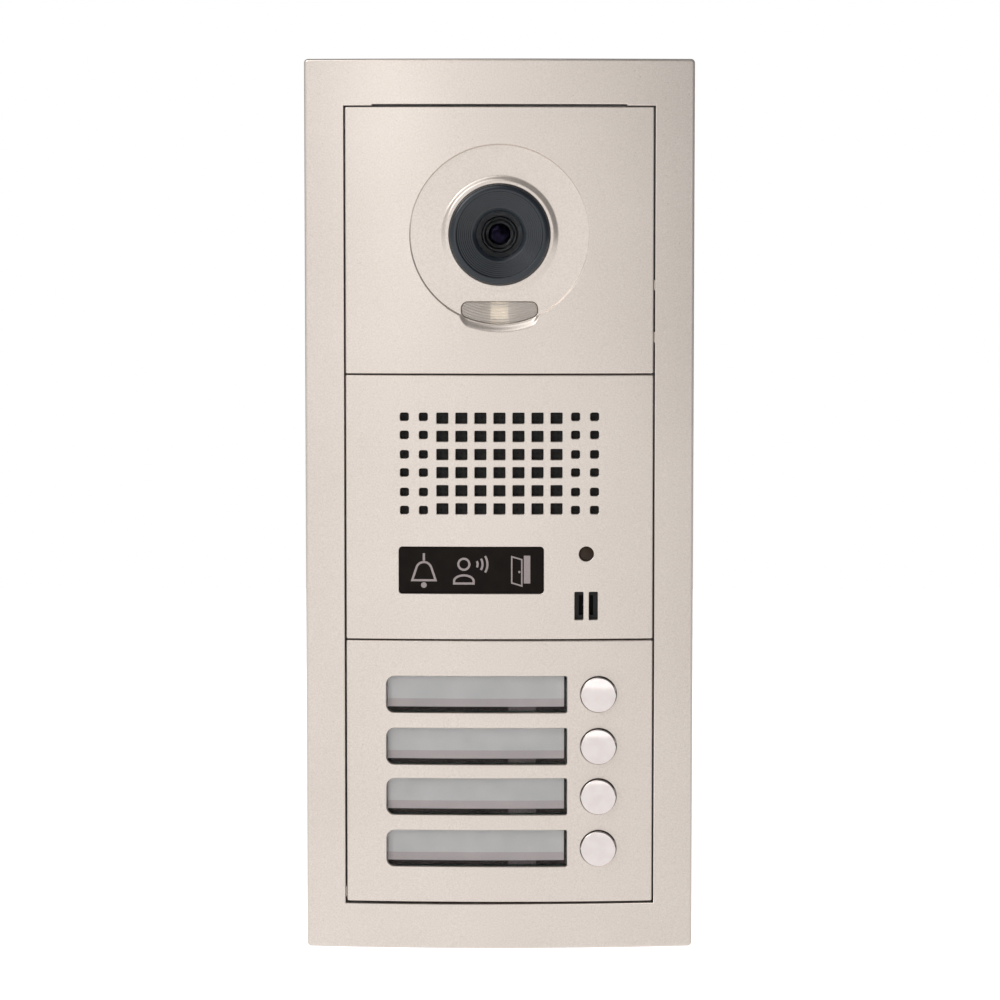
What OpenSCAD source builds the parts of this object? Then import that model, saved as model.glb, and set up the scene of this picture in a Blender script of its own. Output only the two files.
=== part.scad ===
// Flush-mounted door intercom panel: camera, audio and four-call modules in one front frame.
// Millimetres. X is the width, Z is up, the front looks along -Y and the wall's face is y = 0.
// The origin is the centre of the back box's four wall screws, on the wall's face.

/* [Panel] */
// Width of the front frame
panel_w = 135; // [125:1:165]
// Height of one module, from seam to seam
module_pitch = 92.5; // [90:0.5:115]
// How far the frame's side edges stand in front of the wall
edge_d = 14; // [13:0.5:18]
// How much the front bulges from its side edges to its middle
crown = 4.5; // [3.5:0.1:5]
// Width of the frame's two side bars
side_bar = 13.6; // [12.5:0.1:16]
// Height of the frame's top bar
top_bar = 16.1; // [15.5:0.1:20]
// Height of the frame's bottom bar
bottom_bar = 15.75; // [15.5:0.05:20]
// Radius of the frame's outer corners
frame_corner = 1.2; // [0.5:0.1:4]
// Thickness of the frame's front skin
frame_skin = 3; // [2:0.1:4]
// Thickness of the frame's outer walls
frame_wall = 3; // [2.5:0.1:3.2]
// Thickness of the lip around the frame's opening
lip_wall = 1.6; // [1:0.1:1.6]

/* [Gaps] */
// Gap between a module face and a side bar
side_gap = 0.55; // [0.3:0.05:1]
// Seam between two module faces
module_seam = 0.5; // [0.3:0.05:1]
// Gap above the top module, at its two ends
top_gap = 0.4; // [0.2:0.05:1]
// Extra height of the release slot in the middle of that gap
release_slot_h = 0.45; // [0.2:0.05:0.8]
// Width of the release slot
release_slot_w = 88; // [40:1:100]
// Gap below the bottom module
bottom_gap = 0.75; // [0.3:0.05:1]
// Gap around a piece that sits in an opening
fit_gap = 0.15; // [0.1:0.05:0.3]
// Radial gap of a screw or a pin in its hole
run_gap = 0.05; // [0.02:0.01:0.1]

/* [Module faces] */
// Thickness of a module face
face_skin = 2.5; // [2:0.1:3]
// Thickness of a module face's side walls
face_wall = 2; // [1.5:0.1:2.5]
// Radius of a module face's corners
face_corner = 0.4; // [0.2:0.1:1]

/* [Housings] */
// Thickness of a module housing's walls
housing_wall = 1.8; // [1.2:0.1:2.5]
// How far a module housing reaches into the wall
housing_back = 22; // [21:0.5:26]
// Thickness of a circuit board
board_t = 1.6; // [1:0.1:2]

/* [Back box] */
// Room between a module housing and the back box's side walls
box_room = 5.2; // [4.2:0.2:7.2]
// Depth of the back box behind the wall's face
box_d = 45; // [40:1:60]
// Wall thickness of the back box
box_wall = 1.8; // [1.5:0.1:2.5]
// Thickness of the back box's flange
flange_t = 1.5; // [1:0.1:2]
// Radius of the four wall screw holes
fixing_r = 2.1; // [1.8:0.1:2.3]
// Height between the wall screw holes
fixing_pitch_z = 220; // [120:5:260]
// Bore of the cable grommet
cable_r = 7; // [4:0.5:10]

/* [Camera module] */
// Height of the lens above the camera module's middle
lens_up = 2.1; // [-2:0.1:4]
// Radius of the round dish around the lens
dish_r = 31; // [26:0.5:34]
// Depth of the dish at the middle of the face
dish_depth = 1.2; // [0.8:0.1:1.6]
// Outer radius of the black lens bezel
bezel_r = 17.4; // [15.5:0.1:19]
// Number of fine steps in the bezel's funnel
bezel_steps = 7; // [4:1:12]
// Radius of the clear view through the bezel
view_r = 8; // [7.5:0.1:9]
// Radius of the lens barrel
barrel_r = 6; // [4:0.1:6.5]
// Width of the lamp window
lamp_w = 26.6; // [20:0.1:30]

/* [Audio module] */
// Columns of square grille holes
grille_cols = 11; // [5:2:13]
// Rows of square grille holes
grille_rows = 6; // [4:1:6]
// Distance between grille columns
grille_pitch_x = 6.6; // [5.5:0.1:7]
// Distance between grille rows
grille_pitch_z = 6.3; // [5:0.1:6.5]
// Width of a large grille hole
grille_hole_w = 4.1; // [2:0.1:4.6]
// Height of a large grille hole
grille_hole_h = 3.85; // [2:0.05:4.4]
// Radius of the loudspeaker
speaker_r = 25; // [20:0.5:28]
// Width of the status display window
status_w = 50.4; // [40:0.1:56]
// Height of the status display window
status_h = 16.4; // [12:0.1:18]

/* [Call module] */
// Width of a name window
name_w = 63.1; // [50:0.1:66]
// Height of a name window
name_h = 12.9; // [10:0.1:14]
// Distance between the second and third rows
row_pitch_mid = 17.7; // [17:0.05:20]
// Distance between an outer row and its neighbour
row_pitch_outer = 18.25; // [17:0.05:20]
// Distance of the call buttons from the panel's middle line
button_x = 34.5; // [34:0.1:36]
// Radius of a call button's cap
cap_r = 6.1; // [5.1:0.1:6.4]
// Gap between a cap and its hole
cap_gap = 0.3; // [0.2:0.05:0.5]
// How far a cap stands in front of the face
cap_proud = 2; // [1.2:0.1:2.5]
// Travel of a call button
cap_travel = 1; // [0.5:0.1:1.2]

/* [Hidden] */
$fn = 64;
far = 60;

// Front frame and the stack of three modules in its opening
modules = 3;
opening_w = panel_w - 2 * side_bar;
stack_h = modules * module_pitch - module_seam;
panel_h = stack_h + top_gap + bottom_gap + top_bar + bottom_bar;
opening_top = panel_h / 2 - top_bar;
opening_bottom = -panel_h / 2 + bottom_bar;
stack_z = (opening_top - top_gap + opening_bottom + bottom_gap) / 2;
camera_z = stack_z + module_pitch;
audio_z = stack_z;
call_z = stack_z - module_pitch;
front_d = edge_d + crown;
crown_r = (pow(panel_w / 2, 2) + pow(crown, 2)) / (2 * crown);

// Depths, counted from the wall's face, front to back
gasket_t = 1.5;
carrier_front = -5.5;
carrier_back = -3;
lip_back = carrier_front - 0.5;
post_back = -6;
well_floor_t = 2;
housing_front = post_back - 7;
board_front = housing_back - 13;

// Module faces and housings
face_w = opening_w - 2 * side_gap;
face_h = module_pitch - module_seam;
housing_w = face_w - 2 * face_wall - 4.7;
housing_h = face_h - 2 * face_wall - 2;
post_x = housing_w / 2 - 5.5;
post_z = housing_h / 2 - 5.5;
post_r = 3.2;
well_r = 4.2;
board_w = 2 * (post_x - well_r - 1.3);
board_h = housing_h - 2 * housing_wall - 4.4;
pillar_x = board_w / 2 - 5;
pillar_z = board_h / 2 - 7;

// Screws: one size of shank, and two sizes of head
shank_r = 1.5;
screw_hole_r = shank_r + run_gap;
screw_pass_r = shank_r + 0.2;
head_r = 2.5;
head_t = 1.8;

// Carrier and back box
carrier_gap = 1;
carrier_w = housing_w + 2 * carrier_gap + 16;
carrier_h = panel_h - 14;
flange_w = panel_w - 2 * frame_wall - 1;
flange_h = panel_h - 2 * frame_wall - 1;
box_w = housing_w + 2 * box_room + 2 * box_wall;
box_h = flange_h - 7;
fixing_pitch_x = (carrier_w + flange_w) / 2 - 0.6;
boss_r = 3;
boss_x = 40;
boss_z = box_h / 2 - box_wall - boss_r + 0.4;
cable_z = -box_h / 2 + 40;
grommet_r = cable_r + 5;
hook_x = 28;
frame_screw_y = -8.5;

// Camera: the two turning axes cross at the middle of the lens barrel
lens_z = camera_z + lens_up;
dish_y = -front_d + dish_depth;
seat_y = -front_d + 3.7;
bezel_front = dish_y - 3;
bezel_flange_r = bezel_r + 3.1;
bezel_wall = 2.6;
cover_r = view_r + 1;
cover_back = seat_y + 3.3;
cover_t = 1.5;
seal_t = 0.5;
pivot_y = cover_back + 6.5;
barrel_front = pivot_y - 5;
cradle_back = pivot_y + 3;
pin_r = 1;
cradle_half = barrel_r + 2.5;
yoke_in = cradle_half + 1.6;
yoke_out = yoke_in + 2.3;
yoke_half_d = 3;
arm_gap = 0.8;
arm_t = 2.5;
bracket_y = pivot_y + 8;
bracket_t = 1.5;
lamp_top = 23.1;
lamp_end_r = 2.4;
lamp_y = pivot_y - 5.5;

// Audio: places are measured down from the module's upper seam
seam_up = module_pitch / 2;
speaker_z = audio_z + seam_up - 30.9;
mesh_t = 0.4;
speaker_rim_y = -front_d + 6.1;
status_x = -9.8;
status_z = audio_z + seam_up - 68.1;
in_use_x = 30.2;
in_use_z = audio_z + seam_up - 62.45;
in_use_r = 2.6;
mic_x = 30.15;
mic_z = audio_z + seam_up - 80.6;
mic_slot_w = 3.1;
mic_slot_h = 9.8;
mic_slot_pitch = 5;
capsule_r = 4.7;
capsule_front = -front_d + 5.3;
capsule_back = capsule_front + 4.5;
trimmer_x = 22;
trimmer_z = audio_z + 20;
trimmer_w = 9.5;
rotor_r = 3;
terminals = 6;
terminal_pitch = 9;
terminal_z = audio_z - 22;
socket_x = 15;
socket_z = board_h / 2 - 6;
socket_back = housing_back + 2;

// Call module
name_x = -7.95;
name_recess = 0.9;
name_flange = 1;
card_t = 0.3;
guide_front = face_skin + 1 + card_t;
guide_back = -front_d + 7.5;
row_zs = [
    call_z + row_pitch_mid / 2 + row_pitch_outer,
    call_z + row_pitch_mid / 2,
    call_z - row_pitch_mid / 2,
    call_z - row_pitch_mid / 2 - row_pitch_outer
];
cap_hole_r = cap_r + cap_gap;
cap_front = -front_d + crown_sag(button_x) - cap_proud;
cap_stop_y = -front_d + face_skin + 2.1;
cap_flange_front = cap_stop_y + 0.1;
cap_flange_t = 1.2;
cap_flange_r = cap_hole_r + 1;
stem_r = 2;
cap_pocket_r = cap_r - 1.5;
cap_pocket_y = cap_front + 2.7;
call_board_front = 0;
switch_h = 3.5;
switch_tip = 0.8;
stem_end = call_board_front - switch_h - switch_tip - cap_travel - 0.1;
button_plate_back = stem_end - 0.1;
button_plate_t = 1.4;
spring_wire = 0.3;
spring_r = cap_pocket_r - 1.2;
spring_turns = 5;

// How far the crowned front has fallen back at a distance x from the middle line
function crown_sag(x) = crown_r - sqrt(pow(crown_r, 2) - pow(x, 2));

// Everything behind the crowned front surface, or behind a copy of it set back by `inset`
module behind_crown(inset) {
    translate([0, crown_r - front_d + inset, 0])
        cylinder(h = 4 * panel_h, r = crown_r, center = true, $fn = 720);
}

// An upright plate: a flat outline in X and Z, filled from y_front to y_back
module upright(y_front, y_back) {
    translate([0, y_back, 0])
        rotate([90, 0, 0])
            linear_extrude(y_back - y_front)
                children();
}

// A plate that follows the crown, between two set-backs from the front surface
module crowned(inset_front, inset_back) {
    difference() {
        intersection() {
            upright(-front_d - 1, far) children();
            behind_crown(inset_front);
        }
        behind_crown(inset_back);
    }
}

// A plate whose front follows the crown and whose back is flat
module crowned_front(inset_front, y_back) {
    intersection() {
        upright(-front_d - 1, y_back) children();
        behind_crown(inset_front);
    }
}

module round_rect(w, h, r) {
    square([w - 2 * r, h], center = true);
    square([w, h - 2 * r], center = true);
    for (sx = [-1, 1], sz = [-1, 1])
        translate([sx * (w / 2 - r), sz * (h / 2 - r)])
            circle(r = r);
}

// A rod along Y
module rod_y(r, y_front, y_back) {
    translate([0, y_front, 0])
        rotate([-90, 0, 0])
            cylinder(h = y_back - y_front, r = r);
}

// A profile of [radius, y] points turned about the Y axis
module turned_y(profile) {
    rotate([-90, 0, 0])
        rotate_extrude($fn = 96)
            polygon(profile);
}

module four_corners(x, z) {
    for (sx = [-1, 1], sz = [-1, 1])
        translate([sx * x, 0, sz * z])
            children();
}

// A cross-head screw along Y whose head faces +Y and rests on y_seat
module screw_y(y_seat, shank_length) {
    difference() {
        union() {
            rod_y(shank_r, y_seat - shank_length, y_seat);
            rod_y(head_r, y_seat, y_seat + head_t);
        }
        for (turn = [0, 90])
            rotate([0, turn, 0])
                translate([0, y_seat + head_t, 0])
                    cube([2.8, 1.6, 0.6], center = true);
    }
}

// ---- Wall side ----

module back_box() {
    color("#6f7275") difference() {
        union() {
            difference() {
                union() {
                    upright(-flange_t, 0) round_rect(flange_w, flange_h, 2);
                    upright(-flange_t, box_d) round_rect(box_w, box_h, 3);
                }
                upright(-flange_t - 1, box_d - box_wall)
                    round_rect(box_w - 2 * box_wall, box_h - 2 * box_wall, 2);
            }
            four_corners(boss_x, boss_z) rod_y(boss_r, carrier_back, 12);
        }
        four_corners(fixing_pitch_x / 2, fixing_pitch_z / 2)
            rod_y(fixing_r, -flange_t - 1, 1);
        four_corners(boss_x, boss_z) rod_y(screw_hole_r, carrier_back - 1, 11);
        translate([0, 0, cable_z]) rod_y(grommet_r - 2, box_d - far / 2, box_d + 1);
    }
}

module cable_grommet() {
    color("#232323") translate([0, 0, cable_z]) turned_y([
        [cable_r, box_d - box_wall - 2],
        [grommet_r, box_d - box_wall - 2],
        [grommet_r, box_d - box_wall],
        [grommet_r - 2, box_d - box_wall],
        [grommet_r - 2, box_d],
        [grommet_r, box_d],
        [grommet_r - 1, box_d + 2],
        [cable_r, box_d + 2]
    ]);
}

module wall_gasket() {
    color("#2b2b2b") upright(-gasket_t, 0) difference() {
        round_rect(panel_w - 1, panel_h - 1, frame_corner);
        square([flange_w + 0.6, flange_h + 0.6], center = true);
    }
}

module carrier_frame() {
    tab_z = panel_h / 2 - frame_wall - 1.2;
    color("#a9adb0") difference() {
        union() {
            upright(carrier_front, carrier_back) square([carrier_w, carrier_h], center = true);
            for (side = [-1, 1])
                translate([side * (carrier_w / 2 - 0.75), 0, 0])
                    upright(carrier_back, -flange_t) square([1.5, carrier_h - 20], center = true);
            for (side = [-1, 1])
                translate([side * boss_x, 0, -tab_z + 1.5])
                    upright(-11.5, carrier_back) square([9, 3], center = true);
        }
        for (z = [camera_z, audio_z, call_z])
            translate([0, 0, z])
                upright(carrier_front - 1, carrier_back + 1)
                    square([housing_w + 2 * carrier_gap, housing_h + 2 * carrier_gap], center = true);
        four_corners(boss_x, boss_z) rod_y(screw_pass_r, carrier_front - 1, carrier_back + 1);
        for (side = [-1, 1])
            translate([side * boss_x, frame_screw_y, -tab_z - 1])
                cylinder(h = 5, r = screw_hole_r);
    }
}

module carrier_screws() {
    color("#c9ccce") four_corners(boss_x, boss_z)
        mirror([0, 1, 0]) screw_y(-carrier_front, 14);
}

// ---- Front frame ----

module front_frame() {
    inner_w = panel_w - 2 * frame_wall;
    inner_h = panel_h - 2 * frame_wall;
    opening_h = opening_top - opening_bottom;
    opening_z = (opening_top + opening_bottom) / 2;
    color("#d9cfc7") difference() {
        union() {
            difference() {
                crowned_front(0, -gasket_t) round_rect(panel_w, panel_h, frame_corner);
                intersection() {
                    upright(-front_d, 0) difference() {
                        square([inner_w, inner_h], center = true);
                        translate([0, opening_z])
                            square([opening_w + 2 * lip_wall, opening_h + 2 * lip_wall], center = true);
                    }
                    behind_crown(frame_skin);
                }
                translate([0, 0, opening_z]) upright(lip_back, 0)
                    square([opening_w + 2 * lip_wall + 1, opening_h + 2 * lip_wall + 1], center = true);
            }
            frame_hooks();
        }
        difference() {
            translate([0, 0, opening_z]) upright(-front_d - 1, 1)
                square([opening_w, opening_h], center = true);
            locating_ribs();
        }
        translate([0, 0, opening_top]) upright(-front_d - 1, 1)
            square([release_slot_w, 2 * release_slot_h], center = true);
        for (side = [-1, 1])
            translate([side * boss_x, frame_screw_y, -panel_h / 2 - 1]) {
                cylinder(h = frame_wall + 2, r = screw_pass_r);
                cylinder(h = 2.4, r = head_r + 0.3);
            }
    }
}

// Tongues inside the top wall that slip behind the carrier's upper edge
module frame_hooks() {
    for (side = [-1, 1])
        translate([side * hook_x, 0, panel_h / 2 - frame_wall - 3])
            upright(carrier_back, -flange_t - 0.3) square([12, 7], center = true);
}

// Small ribs on the lip that centre the modules in the opening
module locating_ribs() {
    for (place = [[1, camera_z - 15.5], [1, camera_z - 33.5], [-1, call_z - 43]])
        translate([place[0] * opening_w / 2, 0, place[1]])
            upright(-front_d + 5, lip_back) square([0.7, 3.6], center = true);
}

module frame_screws() {
    color("#b8babb") for (side = [-1, 1])
        translate([side * boss_x, frame_screw_y, -panel_h / 2 + 1.4])
            difference() {
                union() {
                    cylinder(h = 7, r = shank_r);
                    translate([0, 0, -1.2]) cylinder(h = 1.2, r = head_r);
                }
                translate([0, 0, -2]) cylinder(h = 1.8, r = 1.15, $fn = 6);
            }
}

// ---- What the three modules share ----

module face_shell() {
    difference() {
        crowned_front(0, carrier_front) round_rect(face_w, face_h, face_corner);
        crowned_front(face_skin, carrier_front + 1)
            square([face_w - 2 * face_wall, face_h - 2 * face_wall], center = true);
    }
    four_corners(post_x, post_z) difference() {
        rod_y(post_r, -front_d + face_skin + crown_sag(post_x + post_r) - 1.2, post_back);
        rod_y(screw_hole_r, post_back - 7, post_back + 1);
    }
}

module housing_shell() {
    well_floor = post_back + well_floor_t;
    difference() {
        union() {
            difference() {
                upright(housing_front, housing_back) round_rect(housing_w, housing_h, 3);
                upright(housing_front - 1, housing_back - housing_wall)
                    round_rect(housing_w - 2 * housing_wall, housing_h - 2 * housing_wall, 2);
            }
            four_corners(post_x, post_z) rod_y(well_r, post_back, housing_back);
        }
        four_corners(post_x, post_z) {
            rod_y(head_r + 0.4, well_floor, housing_back + 1);
            rod_y(screw_pass_r, post_back - 1, housing_back);
        }
    }
}

// Pillars on the housing's rear wall that carry the circuit board
module board_pillars(board_y) {
    four_corners(pillar_x, pillar_z)
        rod_y(2.5, board_y + board_t, housing_back - housing_wall / 2);
}

// A bare board with a ribbon socket at each height in socket_places
module board_with_sockets(board_y, socket_places) {
    upright(board_y, board_y + board_t) square([board_w, board_h], center = true);
    for (z = socket_places)
        translate([socket_x, 0, z])
            upright(board_y + board_t, socket_back) square([16, 6], center = true);
}

module socket_slots(socket_places) {
    for (z = socket_places)
        translate([socket_x, 0, z])
            upright(housing_back - far / 2, housing_back + 1) square([17, 7], center = true);
}

module housing_screws() {
    color("#c9ccce") for (z = [camera_z, audio_z, call_z])
        translate([0, 0, z])
            four_corners(post_x, post_z) screw_y(post_back + well_floor_t, 8);
}

// Ribbon cables behind the housings, each with a plug at both ends
module link_cables() {
    color("#8d8f92") for (join = [[camera_z, audio_z], [audio_z, call_z]]) {
        top_z = join[0] - socket_z;
        low_z = join[1] + socket_z;
        for (z = [top_z, low_z])
            translate([socket_x, 0, z])
                upright(socket_back, socket_back + 4) square([16, 6], center = true);
        translate([socket_x, 0, (top_z + low_z) / 2])
            upright(socket_back + 4, socket_back + 5) square([14, top_z - low_z + 6], center = true);
    }
}

// ---- Camera module ----

// Outline of the lamp window, about the lens centre: straight top, bottom edge round the dish
module lamp_outline(grow) {
    intersection() {
        circle(r = dish_r + grow, $fn = 160);
        translate([0, -lamp_top - dish_r / 2 + grow])
            round_rect(lamp_w + 2 * grow, dish_r, lamp_end_r + grow);
    }
}

module camera_face() {
    color("#d9cfc7") difference() {
        union() {
            difference() {
                translate([0, 0, camera_z]) face_shell();
                translate([0, 0, lens_z]) rod_y(dish_r, -front_d - 1, dish_y);
            }
            translate([0, 0, lens_z]) turned_y([
                [bezel_r - 1, dish_y + 0.6],
                [bezel_r + 3, dish_y + 0.6],
                [bezel_r + 3, dish_y],
                [bezel_r + 1.2, dish_y - 1],
                [bezel_r - 1, dish_y - 1]
            ]);
            translate([0, 0, lens_z]) rod_y(bezel_flange_r + 1, dish_y + 0.6, seat_y);
        }
        translate([0, 0, lens_z]) {
            rod_y(bezel_r + 0.1, -front_d - 2, seat_y + 1);
            upright(-front_d - 1, 0) lamp_outline(0);
            translate([0, -face_skin / 2, -3]) upright(-front_d - 1, -front_d + face_skin)
                lamp_outline(0);
        }
    }
}

module camera_housing() {
    color("#3a3c3e") translate([0, 0, camera_z]) {
        difference() {
            housing_shell();
            socket_slots([-socket_z]);
        }
        board_pillars(board_front);
    }
}

module lens_bezel() {
    funnel_r = bezel_r - bezel_wall;
    funnel_y = bezel_front + 1;
    tread = (funnel_r - view_r) / bezel_steps;
    riser = (seat_y + 0.5 - funnel_y) / bezel_steps;
    color("#202327") translate([0, 0, lens_z]) turned_y(concat(
        [
            [bezel_r, seat_y],
            [bezel_r, bezel_front + 0.5],
            [bezel_r - 0.5, bezel_front],
            [funnel_r + 0.5, bezel_front],
            [funnel_r, bezel_front + 0.5]
        ],
        [for (i = [0:bezel_steps - 1], edge = [0, 1])
            [funnel_r - (i + edge) * tread, funnel_y + i * riser]],
        [
            [view_r, cover_back - cover_t - seal_t],
            [cover_r + 0.1, cover_back - cover_t - seal_t],
            [cover_r + 0.1, cover_back + 0.5],
            [cover_r + 2, cover_back + 0.5],
            [cover_r + 2, seat_y + 1.5],
            [bezel_flange_r, seat_y + 1.5],
            [bezel_flange_r, seat_y]
        ]
    ));
}

module lens_cover() {
    color([0.75, 0.8, 0.85, 0.4]) translate([0, 0, lens_z])
        rod_y(cover_r, cover_back - cover_t, cover_back);
}

module cover_seal() {
    color("#111111") translate([0, 0, lens_z]) difference() {
        rod_y(cover_r, cover_back - cover_t - seal_t, cover_back - cover_t);
        rod_y(view_r + 0.2, cover_back - far / 2, cover_back + 1);
    }
}

// Fixed bracket whose two arms carry the yoke's upright pins
module camera_bracket() {
    arm_z = yoke_out + arm_gap + arm_t / 2;
    color("#a9adb0") translate([0, 0, lens_z]) difference() {
        union() {
            upright(bracket_y, bracket_y + bracket_t)
                square([34, 2 * arm_z + arm_t], center = true);
            for (side = [-1, 1])
                translate([0, 0, side * arm_z])
                    upright(pivot_y - 3, bracket_y + 0.5) square([10, arm_t], center = true);
            four_corners(14, arm_z - 2) rod_y(2, bracket_y + bracket_t, board_front);
        }
        rod_y(7, bracket_y - 1, bracket_y + bracket_t + 1);
        translate([0, pivot_y, 0])
            cylinder(h = 2 * arm_z + 2 * arm_t, r = pin_r + run_gap, center = true);
    }
}

module pan_yoke() {
    color("#3f4245") translate([0, pivot_y, lens_z]) difference() {
        cube([2 * yoke_out, 2 * yoke_half_d, 2 * yoke_out], center = true);
        cube([2 * yoke_in, 2 * yoke_half_d + 2, 2 * yoke_in], center = true);
        cylinder(h = 4 * yoke_out, r = pin_r, center = true);
        rotate([0, 90, 0])
            cylinder(h = 4 * yoke_out, r = pin_r + run_gap, center = true);
    }
}

module pan_pins() {
    color("#d0d3d5") for (side = [0, 1])
        translate([0, pivot_y, lens_z])
            mirror([0, 0, side])
                translate([0, 0, yoke_in + 0.3])
                    cylinder(h = yoke_out - yoke_in + arm_gap + arm_t - 0.5, r = pin_r);
}

module tilt_cradle() {
    color("#2b2d2f") difference() {
        translate([0, pivot_y, lens_z])
            cube([2 * cradle_half, 2 * yoke_half_d, 2 * cradle_half], center = true);
        translate([0, 0, lens_z]) rod_y(barrel_r, pivot_y - 5, pivot_y + 5);
        translate([0, pivot_y, lens_z]) rotate([0, 90, 0])
            cylinder(h = 4 * cradle_half, r = pin_r, center = true);
    }
}

module tilt_pins() {
    color("#d0d3d5") for (side = [0, 1])
        translate([0, pivot_y, lens_z])
            mirror([side, 0, 0])
                rotate([0, 90, 0])
                    translate([0, 0, barrel_r + 0.3])
                        cylinder(h = yoke_out - barrel_r - 0.6, r = pin_r);
}

module lens_barrel() {
    color("#17181a") translate([0, 0, lens_z]) turned_y([
        [1.5, cradle_back],
        [barrel_r, cradle_back],
        [barrel_r, barrel_front + 0.3],
        [barrel_r - 0.3, barrel_front],
        [barrel_r - 0.8, barrel_front],
        [3.7, barrel_front + 1],
        [3.7, barrel_front + 3],
        [1.5, barrel_front + 3]
    ]);
}

module front_lens() {
    lens_r = 3.6;
    dome_r = 6;
    color([0.35, 0.4, 0.5, 0.8]) translate([0, 0, lens_z]) intersection() {
        rod_y(lens_r, barrel_front, barrel_front + 3);
        translate([0, barrel_front + 0.7 + dome_r, 0]) sphere(r = dome_r, $fn = 96);
    }
}

module sensor_board() {
    color("#1f5a3a") translate([0, 0, lens_z])
        upright(cradle_back, cradle_back + 1.2)
            square([2 * cradle_half - 1, 2 * cradle_half - 1], center = true);
}

module lamp_window() {
    color([0.93, 0.9, 0.85, 0.6]) translate([0, 0, lens_z]) {
        intersection() {
            upright(dish_y + 0.3, -front_d + face_skin + 1) lamp_outline(-fit_gap);
            behind_crown(0.3);
        }
        crowned_front(face_skin, -front_d + face_skin + 2) lamp_outline(1);
    }
}

module lamp_led() {
    color("#f4e7b8") translate([0, 0, lens_z - lamp_top - 4]) difference() {
        upright(lamp_y - 1.5, lamp_y) square([6, 5], center = true);
        rod_y(1.75, lamp_y - 2, lamp_y - 1.1);
    }
}

module lamp_board() {
    color("#e8e8e2") translate([0, 0, lens_z - lamp_top - 4]) {
        upright(lamp_y, lamp_y + 1.2) square([24, 8], center = true);
        for (side = [-1, 1])
            translate([side * 9, 0, 0]) rod_y(1.5, lamp_y + 1, board_front);
    }
}

module camera_board() {
    color("#1f5a3a") translate([0, 0, camera_z]) board_with_sockets(board_front, [-socket_z]);
}

// ---- Audio module ----

module grille_holes() {
    middle_col = (grille_cols - 1) / 2;
    middle_row = (grille_rows - 1) / 2;
    small_w = grille_hole_w - 1.05;
    small_h = grille_hole_h - 0.95;
    for (col = [0:grille_cols - 1], row = [0:grille_rows - 1]) {
        small = abs(col - middle_col) > middle_col - 2;
        w = small ? small_w : grille_hole_w;
        h = small ? small_h : grille_hole_h;
        // Small holes sit at the top of their row above the middle, and at its foot below it
        shift = small ? sign(middle_row - row) * (abs(middle_row - row) > 1 ? 1 : 0) : 0;
        translate([
            (col - middle_col) * grille_pitch_x,
            (middle_row - row) * grille_pitch_z + shift * (grille_hole_h - small_h) / 2
        ])
            square([w, h], center = true);
    }
}

module status_outline(grow) {
    round_rect(status_w + 2 * grow, status_h + 2 * grow, 1);
}

module mic_slots() {
    for (side = [-1, 1])
        translate([side * mic_slot_pitch / 2, 0])
            square([mic_slot_w, mic_slot_h], center = true);
}

module audio_face() {
    color("#ded5ce") difference() {
        translate([0, 0, audio_z]) face_shell();
        translate([0, 0, speaker_z]) upright(-front_d - 1, 0) grille_holes();
        translate([status_x, 0, status_z]) upright(-front_d - 1, 0) status_outline(0);
        translate([in_use_x, 0, in_use_z]) rod_y(in_use_r, -front_d - 1, 0);
        translate([mic_x, 0, mic_z]) upright(-front_d - 1, 0) mic_slots();
    }
}

module audio_housing() {
    slot_w = terminals * terminal_pitch + 4;
    color("#3a3c3e") {
        difference() {
            translate([0, 0, audio_z]) housing_shell();
            translate([0, 0, audio_z]) socket_slots([socket_z, -socket_z]);
            translate([0, 0, terminal_z])
                upright(housing_back - 4, housing_back + 1) square([slot_w, 13], center = true);
            for (side = [-1, 1])
                translate([side * trimmer_x, 0, trimmer_z])
                    rod_y(rotor_r + 0.3, housing_back - 4, housing_back + 1);
        }
        translate([0, 0, audio_z]) board_pillars(board_front);
    }
}

module dust_mesh() {
    mesh_w = (grille_cols - 1) * grille_pitch_x + 8;
    mesh_h = (grille_rows - 1) * grille_pitch_z + 8;
    color("#15161a") crowned(face_skin, face_skin + mesh_t)
        translate([0, speaker_z]) square([mesh_w, mesh_h], center = true);
}

module speaker_gasket() {
    color("#2b2b2b") intersection() {
        translate([0, 0, speaker_z]) turned_y([
            [speaker_r - 3, -front_d],
            [speaker_r, -front_d],
            [speaker_r, speaker_rim_y],
            [speaker_r - 3, speaker_rim_y]
        ]);
        behind_crown(face_skin + mesh_t);
    }
}

module speaker_frame() {
    color("#55585b") translate([0, 0, speaker_z]) turned_y([
        [speaker_r - 3.6, speaker_rim_y],
        [speaker_r, speaker_rim_y],
        [speaker_r, speaker_rim_y + 1.2],
        [speaker_r - 1.6, speaker_rim_y + 1.2],
        [13, speaker_rim_y + 10.2],
        [13, speaker_rim_y + 12.4],
        [6.8, speaker_rim_y + 12.4],
        [6.8, speaker_rim_y + 11.2],
        [11.6, speaker_rim_y + 11.2],
        [11.6, speaker_rim_y + 9.6],
        [speaker_r - 3.6, speaker_rim_y + 0.6]
    ]);
}

module speaker_cone() {
    color("#3c3a38") translate([0, 0, speaker_z]) turned_y([
        [0, speaker_rim_y + 4.6],
        [5.8, speaker_rim_y + 6],
        [speaker_r - 5.6, speaker_rim_y + 0.1],
        [speaker_r - 3.6, speaker_rim_y + 0.1],
        [speaker_r - 3.6, speaker_rim_y + 0.5],
        [speaker_r - 5.4, speaker_rim_y + 0.5],
        [6.4, speaker_rim_y + 6.4],
        [6.4, speaker_rim_y + 12],
        [5.8, speaker_rim_y + 12],
        [5.8, speaker_rim_y + 6.5],
        [0, speaker_rim_y + 5]
    ]);
}

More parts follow.
